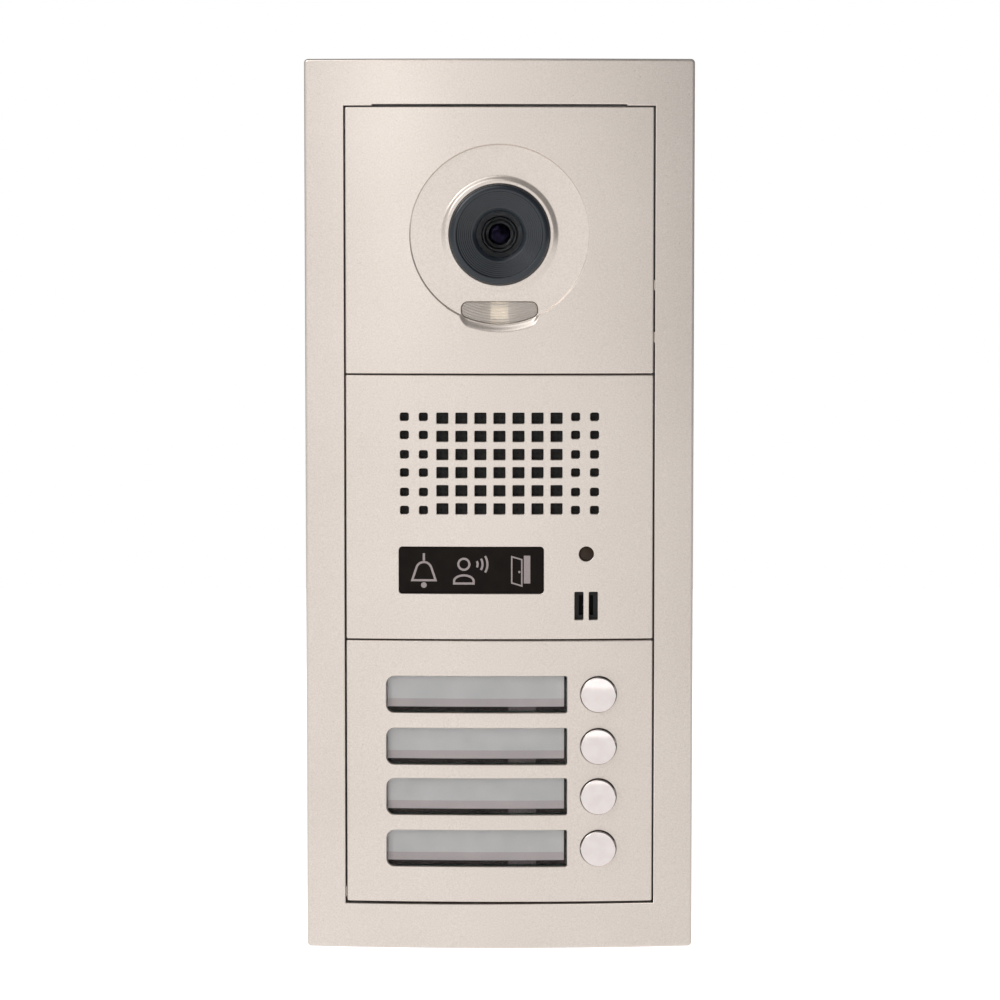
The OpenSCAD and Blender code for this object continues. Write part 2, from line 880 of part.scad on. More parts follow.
module speaker_magnet() {
    color("#7d8082") translate([0, 0, speaker_z]) turned_y([
        [0, speaker_rim_y + 9],
        [5.2, speaker_rim_y + 9],
        [5.2, speaker_rim_y + 12.4],
        [11, speaker_rim_y + 12.4],
        [11, speaker_rim_y + 19],
        [0, speaker_rim_y + 19]
    ]);
}

module status_window() {
    color("#15110f") {
        crowned(0.35, face_skin)
            translate([status_x, status_z]) status_outline(-fit_gap);
        crowned(face_skin, face_skin + 1)
            translate([status_x, status_z]) status_outline(1);
    }
}

// Three lamps on spacers, one behind each sign of the status window
module status_leds() {
    color("#f2f0ea") for (i = [-1, 0, 1])
        translate([status_x + i * status_w / 3, 0, status_z]) rod_y(2.5, -front_d + 6, board_front);
}

module in_use_lens() {
    color("#4a3a31") {
        translate([in_use_x, 0, in_use_z])
            rod_y(in_use_r - 0.1, -front_d + crown_sag(in_use_x) + 0.35, -front_d + face_skin + 1.8);
        crowned_front(face_skin, -front_d + face_skin + 2.6)
            translate([in_use_x, in_use_z]) circle(r = in_use_r + 1);
    }
}

module audio_board() {
    color("#1f5a3a") translate([0, 0, audio_z])
        board_with_sockets(board_front, [socket_z, -socket_z]);
}

module mic_boot() {
    color("#1d1d1d") difference() {
        crowned_front(face_skin, capsule_back) translate([mic_x, mic_z]) round_rect(13, 13, 1.5);
        translate([mic_x, 0, mic_z]) {
            rod_y(capsule_r, capsule_front, capsule_back + 1);
            upright(-front_d, capsule_front + 0.1) square([5, 7], center = true);
        }
    }
}

module mic_capsule() {
    color("#b9bcbe") translate([mic_x, 0, mic_z]) {
        difference() {
            rod_y(capsule_r, capsule_front, capsule_back);
            rod_y(1, capsule_front - 1, capsule_front + 0.4);
        }
        rod_y(1.5, capsule_back, board_front);
    }
}

module terminal_block() {
    block_w = terminals * terminal_pitch + 2;
    color("#2f6b4a") translate([0, 0, terminal_z]) difference() {
        upright(board_front + board_t, housing_back + 8) square([block_w, 12], center = true);
        for (i = [0:terminals - 1])
            translate([(i - (terminals - 1) / 2) * terminal_pitch, 0, 0]) {
                rod_y(2.6, housing_back + 3.5, housing_back + 9);
                translate([0, housing_back + 1, -5]) cube([4.6, 4, 6], center = true);
            }
    }
}

module terminal_screws() {
    color("#c9ccce") for (i = [0:terminals - 1])
        translate([(i - (terminals - 1) / 2) * terminal_pitch, 0, terminal_z]) difference() {
            rod_y(2.5, housing_back + 3.5, housing_back + 6);
            translate([0, housing_back + 6, 0]) cube([6, 1.6, 0.8], center = true);
        }
}

module trimmer_bodies() {
    trimmer_front = board_front + board_t;
    color("#2d5f9a") for (side = [-1, 1])
        translate([side * trimmer_x, 0, trimmer_z]) difference() {
            upright(trimmer_front, trimmer_front + 5) square([trimmer_w, trimmer_w], center = true);
            rod_y(rotor_r + run_gap, trimmer_front + 1.5, trimmer_front + 6);
        }
}

module trimmer_rotor(side) {
    rotor_front = board_front + board_t + 1.55;
    color("#ecece6") translate([side * trimmer_x, 0, trimmer_z]) difference() {
        rod_y(rotor_r, rotor_front, rotor_front + 4.5);
        translate([0, rotor_front + 4.5, 0]) cube([0.9, 2, 4.4], center = true);
    }
}

// ---- Call module ----

// Name window outline: round on the left, nearly square beside the button
module name_outline(grow) {
    w = name_w + 2 * grow;
    h = name_h + 2 * grow;
    left_r = 3 + grow;
    right_r = 0.5;
    translate([-w / 2 + left_r, -h / 2]) square([w - left_r - right_r, h]);
    translate([-w / 2, -h / 2 + left_r]) square([w / 2, h - 2 * left_r]);
    translate([0, -h / 2 + right_r]) square([w / 2, h - 2 * right_r]);
    for (sz = [-1, 1]) {
        translate([-w / 2 + left_r, sz * (h / 2 - left_r)]) circle(r = left_r);
        translate([w / 2 - right_r, sz * (h / 2 - right_r)]) circle(r = right_r);
    }
}

module call_face() {
    color("#ded5ce") difference() {
        union() {
            translate([0, 0, call_z]) face_shell();
            for (z = row_zs)
                crowned_front(face_skin / 2, cap_stop_y)
                    translate([button_x, z]) circle(r = cap_flange_r + 1.2);
        }
        for (z = row_zs) {
            translate([button_x, 0, z]) rod_y(cap_hole_r, -front_d - 1, 0);
            translate([name_x, 0, z]) upright(-front_d - 1, 0) name_outline(0);
        }
    }
}

module call_housing() {
    color("#3a3c3e") translate([0, 0, call_z]) {
        difference() {
            housing_shell();
            socket_slots([socket_z]);
        }
        board_pillars(call_board_front);
    }
}

module name_windows() {
    color([0.88, 0.9, 0.9, 0.45]) for (z = row_zs) {
        crowned(name_recess, face_skin)
            translate([name_x, z]) name_outline(-fit_gap);
        crowned(face_skin, face_skin + 1)
            translate([name_x, z]) name_outline(name_flange);
    }
}

module name_cards() {
    color("#bdbcbb") for (z = row_zs)
        crowned(face_skin + 1, face_skin + 1 + card_t)
            translate([name_x, z]) square([name_w - 1, name_h - 1], center = true);
}

// Clear plate that spreads light behind the name cards, on four legs
module card_light_guide() {
    plate_w = name_w + 4;
    plate_h = row_zs[0] - row_zs[3] + name_h + 2;
    color([0.9, 0.93, 0.95, 0.5]) {
        crowned_front(guide_front, guide_back)
            translate([name_x, call_z]) square([plate_w, plate_h], center = true);
        translate([name_x, 0, call_z])
            four_corners(plate_w / 2 - 4, plate_h / 2 - 5) rod_y(1.5, guide_back, call_board_front);
    }
}

module call_board() {
    color("#1f5a3a") translate([0, 0, call_z]) board_with_sockets(call_board_front, [socket_z]);
}

module call_switches() {
    color("#26282a") for (z = row_zs)
        translate([button_x, 0, z]) {
            upright(call_board_front - switch_h, call_board_front) square([6, 6], center = true);
            rod_y(1.7, call_board_front - switch_h - switch_tip, call_board_front - switch_h);
        }
}

// Plate behind the buttons: guides their stems and carries their springs
module button_guide() {
    plate_front = button_plate_back - button_plate_t;
    leg_zs = [row_pitch_mid / 2 + row_pitch_outer / 2, 0, -row_pitch_mid / 2 - row_pitch_outer / 2];
    color("#dcdcd8") difference() {
        union() {
            translate([button_x, 0, call_z]) upright(plate_front, button_plate_back)
                square([11, row_zs[0] - row_zs[3] + 11], center = true);
            for (z = leg_zs)
                translate([button_x, 0, call_z + z]) rod_y(1.5, button_plate_back, call_board_front);
        }
        for (z = row_zs)
            translate([button_x, 0, z]) rod_y(stem_r + run_gap, plate_front - 1, button_plate_back + 1);
    }
}

// Chromed cap, stop flange and stem in one moulding
module call_button(row) {
    color("#e9e4e2") translate([button_x, 0, row_zs[row]]) turned_y([
        [0, cap_front],
        [cap_r - 0.5, cap_front],
        [cap_r, cap_front + 0.5],
        [cap_r, cap_flange_front],
        [cap_flange_r, cap_flange_front],
        [cap_flange_r, cap_flange_front + cap_flange_t],
        [cap_pocket_r, cap_flange_front + cap_flange_t],
        [cap_pocket_r, cap_pocket_y],
        [stem_r, cap_pocket_y],
        [stem_r, stem_end],
        [0, stem_end]
    ]);
}

// Coil spring around the stem, from the cap's pocket to the guide plate
module button_spring(row) {
    sides = 8;
    steps = 14 * spring_turns;
    y0 = cap_pocket_y + spring_wire;
    y1 = button_plate_back - button_plate_t - spring_wire;
    ring = function (i) let (t = i / steps, a = 360 * spring_turns * t, y = y0 + (y1 - y0) * t) [
        for (k = [0:sides - 1])
            let (b = 360 * k / sides, r = spring_r + spring_wire * cos(b))
                [r * cos(a), y + spring_wire * sin(b), r * sin(a)]
    ];
    points = [for (i = [0:steps]) each ring(i)];
    wall = [for (i = [0:steps - 1], k = [0:sides - 1])
        let (n = (k + 1) % sides)
            each [
                [i * sides + k, i * sides + n, (i + 1) * sides + n],
                [i * sides + k, (i + 1) * sides + n, (i + 1) * sides + k]
            ]
    ];
    near_end = [[for (k = [0:sides - 1]) sides - 1 - k]];
    far_end = [[for (k = [0:sides - 1]) steps * sides + k]];
    color("#c9ccce") translate([button_x, 0, row_zs[row]])
        polyhedron(points = points, faces = concat(wall, near_end, far_end));
}

back_box();
cable_grommet();
wall_gasket();
carrier_frame();
carrier_screws();
front_frame();
frame_screws();
housing_screws();
link_cables();
camera_face();
camera_housing();
lens_bezel();
lens_cover();
cover_seal();
camera_bracket();
pan_yoke();
pan_pins();
tilt_cradle();
tilt_pins();
lens_barrel();
front_lens();
sensor_board();
lamp_window();
lamp_led();
lamp_board();
camera_board();
audio_face();
audio_housing();
dust_mesh();
speaker_gasket();
speaker_frame();
speaker_cone();
speaker_magnet();
status_window();
status_leds();
in_use_lens();
audio_board();
mic_boot();
mic_capsule();
terminal_block();
terminal_screws();
trimmer_bodies();
trimmer_rotor(-1);  // volume_rotor
trimmer_rotor(1);  // mic_rotor
call_face();
call_housing();
name_windows();
name_cards();
card_light_guide();
call_board();
call_switches();
button_guide();
call_button(0);  // call_button_1
call_button(1);  // call_button_2
call_button(2);  // call_button_3
call_button(3);  // call_button_4
button_spring(0);  // button_spring_1
button_spring(1);  // button_spring_2
button_spring(2);  // button_spring_3
button_spring(3);  // button_spring_4
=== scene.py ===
# %% [markdown]
# # A flush-mounted door intercom panel
#
# The real object is a tall die-cast frame that holds three snap-in modules: a camera, a loudspeaker with its
# signs and microphone, and four call buttons with name windows. The design already exists as exact solids.
# Here they are loaded as a fixed frame, and the pieces that meet the eye are built again as finer meshes.
# A mesh could also be bevelled from the loaded one, but a tessellated solid has long thin triangles, and
# bevels on those tear. Building from outlines gives clean edges and full control of the shading.

# %% Load the design
import math

import bpy
import numpy as np
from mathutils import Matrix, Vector, geometry


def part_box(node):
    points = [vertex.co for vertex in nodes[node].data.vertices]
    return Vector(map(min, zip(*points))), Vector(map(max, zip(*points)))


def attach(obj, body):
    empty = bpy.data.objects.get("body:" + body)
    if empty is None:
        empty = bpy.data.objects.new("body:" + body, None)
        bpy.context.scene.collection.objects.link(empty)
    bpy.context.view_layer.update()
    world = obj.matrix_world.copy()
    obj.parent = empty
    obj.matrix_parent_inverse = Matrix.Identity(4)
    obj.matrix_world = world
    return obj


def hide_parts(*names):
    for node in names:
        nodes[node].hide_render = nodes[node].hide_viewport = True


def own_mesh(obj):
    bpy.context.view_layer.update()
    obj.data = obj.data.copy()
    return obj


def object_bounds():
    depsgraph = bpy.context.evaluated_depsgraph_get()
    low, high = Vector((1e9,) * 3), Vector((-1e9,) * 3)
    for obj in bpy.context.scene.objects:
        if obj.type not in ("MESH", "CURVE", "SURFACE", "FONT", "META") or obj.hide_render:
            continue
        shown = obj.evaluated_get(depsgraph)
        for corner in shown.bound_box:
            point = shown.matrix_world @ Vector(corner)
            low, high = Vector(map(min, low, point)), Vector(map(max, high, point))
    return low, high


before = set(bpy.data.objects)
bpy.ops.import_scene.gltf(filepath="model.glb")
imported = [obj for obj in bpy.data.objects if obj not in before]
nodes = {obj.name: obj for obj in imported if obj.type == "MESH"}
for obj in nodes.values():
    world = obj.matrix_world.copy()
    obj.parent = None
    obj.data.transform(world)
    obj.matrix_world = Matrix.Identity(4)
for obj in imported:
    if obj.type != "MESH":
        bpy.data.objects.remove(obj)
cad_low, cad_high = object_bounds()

MM = 0.001
print("loaded", len(nodes), "nodes, box", [round(v / MM, 1) for v in cad_high - cad_low], "mm")

# %% [markdown]
# ## The main sizes
#
# Everything visible hangs on a few sizes of the front: the bulge that runs over all pieces, and the heights
# of the three modules. They are read from the loaded nodes where a node shows them, and named here where
# only the drawing knows them. The bulge is one cylinder, so its radius follows from width and rise.

# %% Sizes of the front
frame_low, frame_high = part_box("front_frame")
PANEL_W = frame_high.x - frame_low.x
PANEL_H = frame_high.z - frame_low.z
FRONT = frame_low.y
CROWN = 4.5 * MM
CROWN_R = ((PANEL_W / 2) ** 2 + CROWN ** 2) / (2 * CROWN)
SIDE_BAR = 13.6 * MM
TOP_BAR = 16.1 * MM
BOTTOM_BAR = 15.75 * MM
FACE_SKIN = 2.5 * MM
FRAME_SKIN = 3 * MM
CAMERA_Z = sum(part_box("camera_face")[i].z for i in (0, 1)) / 2
AUDIO_Z = sum(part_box("audio_face")[i].z for i in (0, 1)) / 2
CALL_Z = sum(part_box("call_face")[i].z for i in (0, 1)) / 2
FACE_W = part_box("audio_face")[1].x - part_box("audio_face")[0].x
FACE_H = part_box("audio_face")[1].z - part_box("audio_face")[0].z
BARREL_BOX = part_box("lens_barrel")
LENS_Z = (BARREL_BOX[0].z + BARREL_BOX[1].z) / 2
print("front", round(FRONT / MM, 2), "modules at", [round(z / MM, 2) for z in (CAMERA_Z, AUDIO_Z, CALL_Z)])
print("bulge radius", round(CROWN_R / MM, 1), "mm, lens at", round(LENS_Z / MM, 2))


def crowned(x, z):
    """Depth of the bulged front at x. It is the same at every height z."""
    return FRONT + CROWN_R - np.sqrt(CROWN_R ** 2 - x ** 2) + 0 * z


# %% [markdown]
# ## Outlines that can grow
#
# Each plate on the front starts as an outline, and each rounded edge needs the same outline a little larger
# or smaller. So an outline here is a function: called with a distance, it gives its points that far outside.
# Because the number of points never changes, two rings of one outline can be joined by quads.
# Curves with a bevel could do this too, but they can't follow the bulge and share its exact normals.

# %% Outlines
def arc(centre, radius, start, end, steps):
    """Points on an arc, with its angles in degrees."""
    turn = np.radians(np.linspace(start, end, steps))
    return np.column_stack([centre[0] + radius * np.cos(turn), centre[1] + radius * np.sin(turn)])


def round_rect(centre, size, radii, steps=7):
    """A rectangle with one radius per corner, from the upper right one and on to the left."""
    def outline(grow=0.0):
        corners = []
        for turn, radius in enumerate(radii):
            side = np.array([(1, 1), (-1, 1), (-1, -1), (1, -1)][turn])
            grown = max(radius + grow, 0.15 * MM)
            middle = np.array(centre) + side * (np.array(size) / 2 + grow - grown)
            corners.append(arc(middle, grown, 90 * turn, 90 * turn + 90, steps))
        return np.vstack(corners)
    return outline


def disc(centre, radius, steps=96):
    def outline(grow=0.0):
        return arc(centre, radius + grow, 0, 360, steps + 1)[:-1]
    return outline


def cornered(corners):
    """A plain polygon that grows by moving each corner along its mitre."""
    corners = np.array(corners)
    ahead = np.roll(corners, -1, axis=0) - corners
    ahead /= np.linalg.norm(ahead, axis=1, keepdims=True)
    out_ahead = np.column_stack([ahead[:, 1], -ahead[:, 0]])
    out_behind = np.roll(out_ahead, 1, axis=0)
    mitre = (out_ahead + out_behind) / (1 + (out_ahead * out_behind).sum(1, keepdims=True))
    return lambda grow=0.0: corners + grow * mitre


def divided(outline, longest=4 * MM):
    """The same outline with points along its straight runs, so that it can follow the bulge."""
    base = outline(0)
    gaps = np.linalg.norm(np.roll(base, -1, axis=0) - base, axis=1)
    parts = np.maximum(1, np.ceil(gaps / longest)).astype(int)

    def finer(grow=0.0):
        ring = outline(grow)
        after = np.roll(ring, -1, axis=0)
        runs = [a + (b - a) * np.arange(n)[:, None] / n for a, b, n in zip(ring, after, parts)]
        return np.vstack(runs)
    return finer


test_square = cornered([(0, 0), (20 * MM, 0), (20 * MM, 20 * MM), (0, 20 * MM)])
print("a 20 mm test square has", len(divided(test_square)()), "points")

# %% [markdown]
# ## A surface that keeps its own shading
#
# A bulged plate with tiny rounded edges is hard to shade: Blender averages normals over faces of very
# different sizes, and the large ones look dented. So every face corner gets the true normal of the ideal
# surface as a custom normal. The mesh can then stay coarse where the surface is calm.

# %% Gather a surface and turn it into a piece
class Surface:
    """Points, faces, and the shading normal of each face corner."""

    def __init__(self):
        self.points, self.faces, self.normals, self.finishes = [], [], [], []

    def ring(self, points):
        first = len(self.points)
        self.points.extend(map(tuple, points))
        return np.arange(first, len(self.points))

    def face(self, corners, normals, finish=0):
        self.faces.append([int(c) for c in corners])
        self.normals.extend(tuple(n) for n in normals)
        self.finishes.append(finish)

    def strip(self, near, far, near_normals, far_normals, inward=False, finish=0):
        """Quads between two closed rings of as many points."""
        for i in range(len(near)):
            j = (i + 1) % len(near)
            corners = [near[i], far[i], far[j], near[j]]
            normals = [near_normals[i], far_normals[i], far_normals[j], near_normals[j]]
            if inward:
                corners, normals = corners[::-1], normals[::-1]
            self.face(corners, normals, finish)


def build(name, surface, finishes, body="root", replaces=(), slot=None):
    """Makes the mesh object, gives it its finishes, and lets it ride on its body."""
    mesh = bpy.data.meshes.new(name)
    mesh.from_pydata(surface.points, [], surface.faces)
    for finish in finishes:
        mesh.materials.append(finish)
    mesh.polygons.foreach_set("material_index", surface.finishes)
    mesh.shade_smooth()
    mesh.normals_split_custom_set(surface.normals)
    piece = bpy.data.objects.new(name, mesh)
    bpy.context.scene.collection.objects.link(piece)
    if replaces:
        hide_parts(*replaces)
    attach(piece, body)
    print(f"{name}: {len(surface.points)} points, {len(surface.faces)} faces")
    return piece


# %% [markdown]
# ## Filling a plate between its outline and its holes
#
# The front of a module face is a sheet with dozens of openings. A Delaunay triangulation that is held to
# the rings fills it: free points inside carry the relief, and the rings keep every edge exact. Cutting the
# openings with Boolean modifiers would also work, but it leaves slivers that spoil a curved front.

# %% Triangulate between rings
def within(points, rings):
    """Which points have an odd number of rings around them."""
    crossed = np.zeros(len(points), int)
    for ring in rings:
        low, high = ring.min(0), ring.max(0)
        near = (points[:, 1] >= low[1]) & (points[:, 1] <= high[1]) & (points[:, 0] <= high[0])
        x, z = points[near].T[:, :, None]
        (ax, az), (bx, bz) = ring.T[:, None, :], np.roll(ring, -1, axis=0).T[:, None, :]
        spans = (az > z) != (bz > z)
        rise = np.where(bz == az, 1, bz - az)
        crossed[near] += (spans & (x < (bx - ax) * (z - az) / rise + ax)).sum(1)
    return crossed % 2 == 1


def clear_of(points, rings, margin):
    """Which points lie further than the margin from every ring."""
    far = np.ones(len(points), bool)
    for ring in rings:
        low, high = ring.min(0) - margin, ring.max(0) + margin
        near = np.flatnonzero(far & ((points > low) & (points < high)).all(1))
        start, run = ring[None], (np.roll(ring, -1, axis=0) - ring)[None]
        for part in np.array_split(near, 1 + len(near) // 400):
            gap = points[part][:, None] - start
            along = np.clip((gap * run).sum(2) / np.maximum((run ** 2).sum(2), 1e-18), 0, 1)
            far[part] = np.linalg.norm(gap - along[..., None] * run, axis=2).min(1) > margin
    return far


def fill(surface, rings, numbers, free, depth, facing, backward=False, finish=0):
    """Fills the sheet between rings, whose points are already in the surface, with free points inside."""
    free = free[within(free, rings) & clear_of(free, rings, 0.12 * MM)] if len(free) else free.reshape(0, 2)
    places = np.vstack(rings + [free])
    free_numbers = surface.ring(np.column_stack([free[:, 0], depth(*free.T), free[:, 1]]))
    numbers = np.concatenate(numbers + [free_numbers])
    edges, first = [], 0
    for ring in rings:
        edges += [(first + i, first + (i + 1) % len(ring)) for i in range(len(ring))]
        first += len(ring)
    found = geometry.delaunay_2d_cdt([Vector(p) for p in places / MM], edges, [], 0, 1e-6)
    corner_of = [sources[0] for sources in found[3]]
    triangles = np.array([[corner_of[c] for c in face] for face in found[2]])
    triangles = triangles[within(places[triangles].mean(1), rings)]
    shades = facing(places)
    for triangle in triangles:
        corners, normals = numbers[triangle], shades[triangle]
        if backward:
            corners, normals = corners[::-1], -normals[::-1]
        surface.face(corners, normals, finish)


def facing_of(depth):
    """The outward normal of a front given by its depth, from its slopes."""
    reach = 0.02 * MM

    def facing(places):
        x, z = places.T
        slope_x = (depth(x + reach, z) - depth(x - reach, z)) / (2 * reach)
        slope_z = (depth(x, z + reach) - depth(x, z - reach)) / (2 * reach)
        normal = np.column_stack([slope_x, -np.ones_like(x), slope_z])
        return normal / np.linalg.norm(normal, axis=1, keepdims=True)
    return facing


def grid(centre, size, pitch):
    """Points in even rows, every second row shifted by half a pitch."""
    columns, rows = (int(s / pitch) + 1 for s in size)
    x, z = np.meshgrid(np.arange(columns) * pitch, np.arange(rows) * pitch)
    x = x + (np.arange(rows) % 2)[:, None] * pitch / 2
    flat = np.column_stack([x.ravel() - size[0] / 2, z.ravel() - size[1] / 2])
    return flat + np.array(centre)


# %% [markdown]
# ## A moulded plate in one call
#
# Casting and moulding leave no knife edges: each front edge is rounded, then the wall drops straight back.
# Along the outside a wall goes on as a skirt, and around an opening it may end as a lip. The plate builder
# takes these as a list of edges, the outside first, and closes the sheet at the back.

# %% Build a plate from its edges
ROUNDING = np.radians(np.linspace(0, 90, 5))


def edge(outline, rounding, foot=None, wall=0.0):
    """One edge of a plate: its radius, and how deep and how thick its skirt or lip is."""
    return {"outline": outline, "rounding": rounding, "foot": foot, "wall": wall}


def add_plate(surface, edges, depth, skin, free, finish=0, rear=None):
    """A closed plate whose front follows depth, with the first edge outside and the others as holes."""
    facing = facing_of(depth)
    rear = rear or (lambda x, z: depth(x, z) + skin)
    front_rings, front_numbers, back_rings, back_numbers = [], [], [], []
    for number, e in enumerate(edges):
        side, outline, rounding = (1 if number == 0 else -1), e["outline"], e["rounding"]
        out = side * (outline(MM) - outline(0))
        out = out / np.linalg.norm(out, axis=1, keepdims=True)
        out = np.column_stack([out[:, 0], 0 * out[:, 0], out[:, 1]])
        last = None
        for turn in ROUNDING:
            ring = outline(-side * rounding * (1 - math.sin(turn)))
            y = depth(*ring.T) + rounding * (1 - math.cos(turn))
            points = surface.ring(np.column_stack([ring[:, 0], y, ring[:, 1]]))
            shade = math.cos(turn) * facing(ring) + math.sin(turn) * out
            if last is None:
                front_rings.append(ring)
                front_numbers.append(points)
            else:
                surface.strip(last[0], points, last[1], shade, side < 0, finish)
            last = (points, shade)
        rim = outline(0)
        if e["foot"] is None:
            levels = [(rim, rear(*rim.T), out)]
        else:
            inner = outline(-side * e["wall"])
            back = np.tile((0.0, 1.0, 0.0), (len(rim), 1))
            levels = [
                (rim, e["foot"] + 0 * rim[:, 0], out),
                (inner, e["foot"] + 0 * rim[:, 0], back),
                (inner, rear(*inner.T), -out),
            ]
        points = last[0]
        for ring, y, shade in levels:
            further = surface.ring(np.column_stack([ring[:, 0], y, ring[:, 1]]))
            surface.strip(points, further, shade, shade, side < 0, finish)
            points = further
        back_rings.append(levels[-1][0])
        back_numbers.append(points)
    fill(surface, front_rings, front_numbers, free, depth, facing, False, finish)
    none = np.zeros((0, 2))
    fill(surface, back_rings, back_numbers, none, rear, facing_of(rear), True, finish)


# %% [markdown]
# ## Turned pieces
#
# Bezels, lenses, screw posts and button caps are all turned shapes: one profile spun about an axis. The
# Screw modifier does that, but its normals smear over sharp steps. Spinning the profile here lets each
# step keep a crisp edge, because neighbours share a normal only where the profile bends gently.

# %% Spin a profile about the Y axis
def eased(profile, steps=4):
    """A profile of (radius, depth, rounding) corners, with each rounding drawn as a short curve."""
    corners = [np.array(p[:2], float) for p in profile]
    points = []
    for i, corner in enumerate(profile):
        rounding = corner[2] if len(corner) > 2 else 0
        if not rounding or i in (0, len(profile) - 1):
            points.append(corners[i])
            continue
        before, after = corners[i - 1] - corners[i], corners[i + 1] - corners[i]
        before, after = before / np.linalg.norm(before), after / np.linalg.norm(after)
        for t in np.linspace(0, 1, steps + 1):
            points.append(corners[i] + rounding * ((1 - t) ** 2 * before + t ** 2 * after))
    return np.array(points)


def add_turned(surface, profile, centre, steps=128, finish=0, gentle=40):
    """Spins a profile of (radius, depth) points that starts in front and runs outwards and back."""
    profile = np.array(profile, float)
    runs = np.diff(profile, axis=0)
    out = np.column_stack([runs[:, 1], -runs[:, 0]])
    out = out / np.maximum(np.linalg.norm(out, axis=1, keepdims=True), 1e-12)
    start, end = out.copy(), out.copy()
    for i in range(len(out) - 1):
        if out[i] @ out[i + 1] > math.cos(math.radians(gentle)):
            mean = out[i] + out[i + 1]
            end[i] = start[i + 1] = mean / np.linalg.norm(mean)
    turn = np.radians(np.arange(steps) * 360 / steps)
    cos, sin = np.cos(turn), np.sin(turn)

    def spun(radial, along):
        return np.column_stack([radial * cos, np.full(steps, along), radial * sin])

    place = np.array([centre[0], 0, centre[1]])
    rings = [surface.ring(spun(r, y) + place) if r > 1e-9 else surface.ring([(centre[0], y, centre[1])])
             for r, y in profile]
    for i in range(len(profile) - 1):
        near, far = rings[i], rings[i + 1]
        near_shade, far_shade = spun(*start[i]), spun(*end[i])
        for k in range(steps):
            j = (k + 1) % steps
            if len(near) == 1:
                surface.face([near[0], far[k], far[j]], [near_shade[k], far_shade[k], far_shade[j]], finish)
            elif len(far) == 1:
                surface.face([near[k], far[0], near[j]], [near_shade[k], far_shade[k], near_shade[j]], finish)
            else:
                surface.face([near[k], far[k], far[j], near[j]],
                             [near_shade[k], far_shade[k], far_shade[j], near_shade[j]], finish)


print("a rounded corner has", len(eased([(0, 0), (1, 0, 0.2), (1, 1)])), "profile points")


# %% [markdown]
# ## Finishes: one small helper
#
# Every finish is a node tree around the Principled shader. Colours are written as sRGB hex values, the way a
# paint chart gives them, and turned to the linear values that the renderer needs. The pattern coordinates
# are the object's own, in metres, so a grain of half a millimetre is a scale of 1 / 0.0005.

# %% Node helper
def linear(hex_colour):
    """An sRGB hex colour as linear RGBA."""
    channels = [int(hex_colour[i:i + 2], 16) / 255 for i in (1, 3, 5)]
    return [c / 12.92 if c <= 0.04045 else ((c + 0.055) / 1.055) ** 2.4 for c in channels] + [1.0]


def add(material, kind, inputs=(), stops=(), **settings):
    """Adds a node: an input given as another node's socket is linked, any other value is set."""
    tree = material.node_tree
    node = tree.nodes.new("ShaderNode" + kind)
    for key, value in settings.items():
        setattr(node, key, value)
    for key, value in dict(inputs).items():
        if isinstance(value, bpy.types.NodeSocket):
            tree.links.new(value, node.inputs[key])
        else:
            node.inputs[key].default_value = value
    for number, (place, colour) in enumerate(stops):
        ramp = node.color_ramp.elements
        stop = ramp[number] if number < 2 else ramp.new(place)
        stop.position, stop.color = place, linear(colour)
    return node


def finish(name, **inputs):
    """An empty finish with its Principled shader. Inputs are given with spaces as underscores."""
    material = bpy.data.materials.new(name)
    material.use_nodes = True
    material.node_tree.nodes.clear()
    shader = add(material, "BsdfPrincipled")
    add(material, "OutputMaterial", {"Surface": shader.outputs[0]})
    for key, value in inputs.items():
        shader.inputs[key.replace("_", " ")].default_value = value
    return material, shader


def grain(material, size, detail=2.0, stretch=(1, 1, 1)):
    """Noise whose blotches are about as wide as size, which may be stretched along an axis."""
    place = add(material, "TexCoord").outputs["Object"]
    scaled = add(material, "Mapping", {"Vector": place, "Scale": [1 / s for s in stretch]})
    return add(material, "TexNoise", {"Vector": scaled.outputs[0], "Scale": 1 / size, "Detail": detail})


def set_on(material, shader, colours=None, rough=None, bump=None):
    """Drives colour, roughness and bump of a shader from patterns that are already there."""
    tree = material.node_tree
    if colours:
        source, stops = colours
        ramp = add(material, "ValToRGB", {"Fac": source}, stops=stops)
        tree.links.new(ramp.outputs[0], shader.inputs["Base Color"])
    if rough:
        source, low, high = rough
        spread = add(material, "MapRange", {"Value": source, "To Min": low, "To Max": high})
        tree.links.new(spread.outputs[0], shader.inputs["Roughness"])
    if bump:
        source, height, strength = bump
        relief = add(material, "Bump", {"Height": source, "Distance": height, "Strength": strength})
        tree.links.new(relief.outputs[0], shader.inputs["Normal"])


print("chart colour #808080 is", round(linear("#808080")[0], 3), "in linear light")

# %% [markdown]
# ## Champagne metallic paint
#
# The frame and the module faces are cast or moulded and sprayed with a satin paint that holds fine aluminium
# flakes. Half of what it gives back is a soft metallic reflection, half is scattered by the pigment, so it
# is set between a metal and a plastic. The flakes are a few hundredths of a millimetre in truth; here they
# are drawn half a millimetre wide, because finer ones wouldn't show.

# %% Champagne metallic paint
FLAKE = 0.5 * MM
PAINT_CLOUD = 45 * MM


def champagne_paint():
    material, shader = finish(
        "champagne_metallic_paint", Metallic=0.75, Coat_Weight=0.08, Coat_Roughness=0.25,
    )
    flakes = grain(material, FLAKE, detail=3)
    clouds = grain(material, PAINT_CLOUD, detail=1)
    both = add(material, "Math", {0: flakes.outputs[0], 1: 0.8}, operation="MULTIPLY")
    both = add(material, "Math", {0: clouds.outputs[0], 1: 0.2, 2: both.outputs[0]}, operation="MULTIPLY_ADD")
    set_on(
        material, shader,
        colours=(both.outputs[0], [(0.25, "#d2c7bd"), (0.75, "#e9dfd7")]),
        rough=(flakes.outputs[0], 0.25, 0.35),
        bump=(flakes.outputs[0], 0.012 * MM, 0.6),
    )
    return material


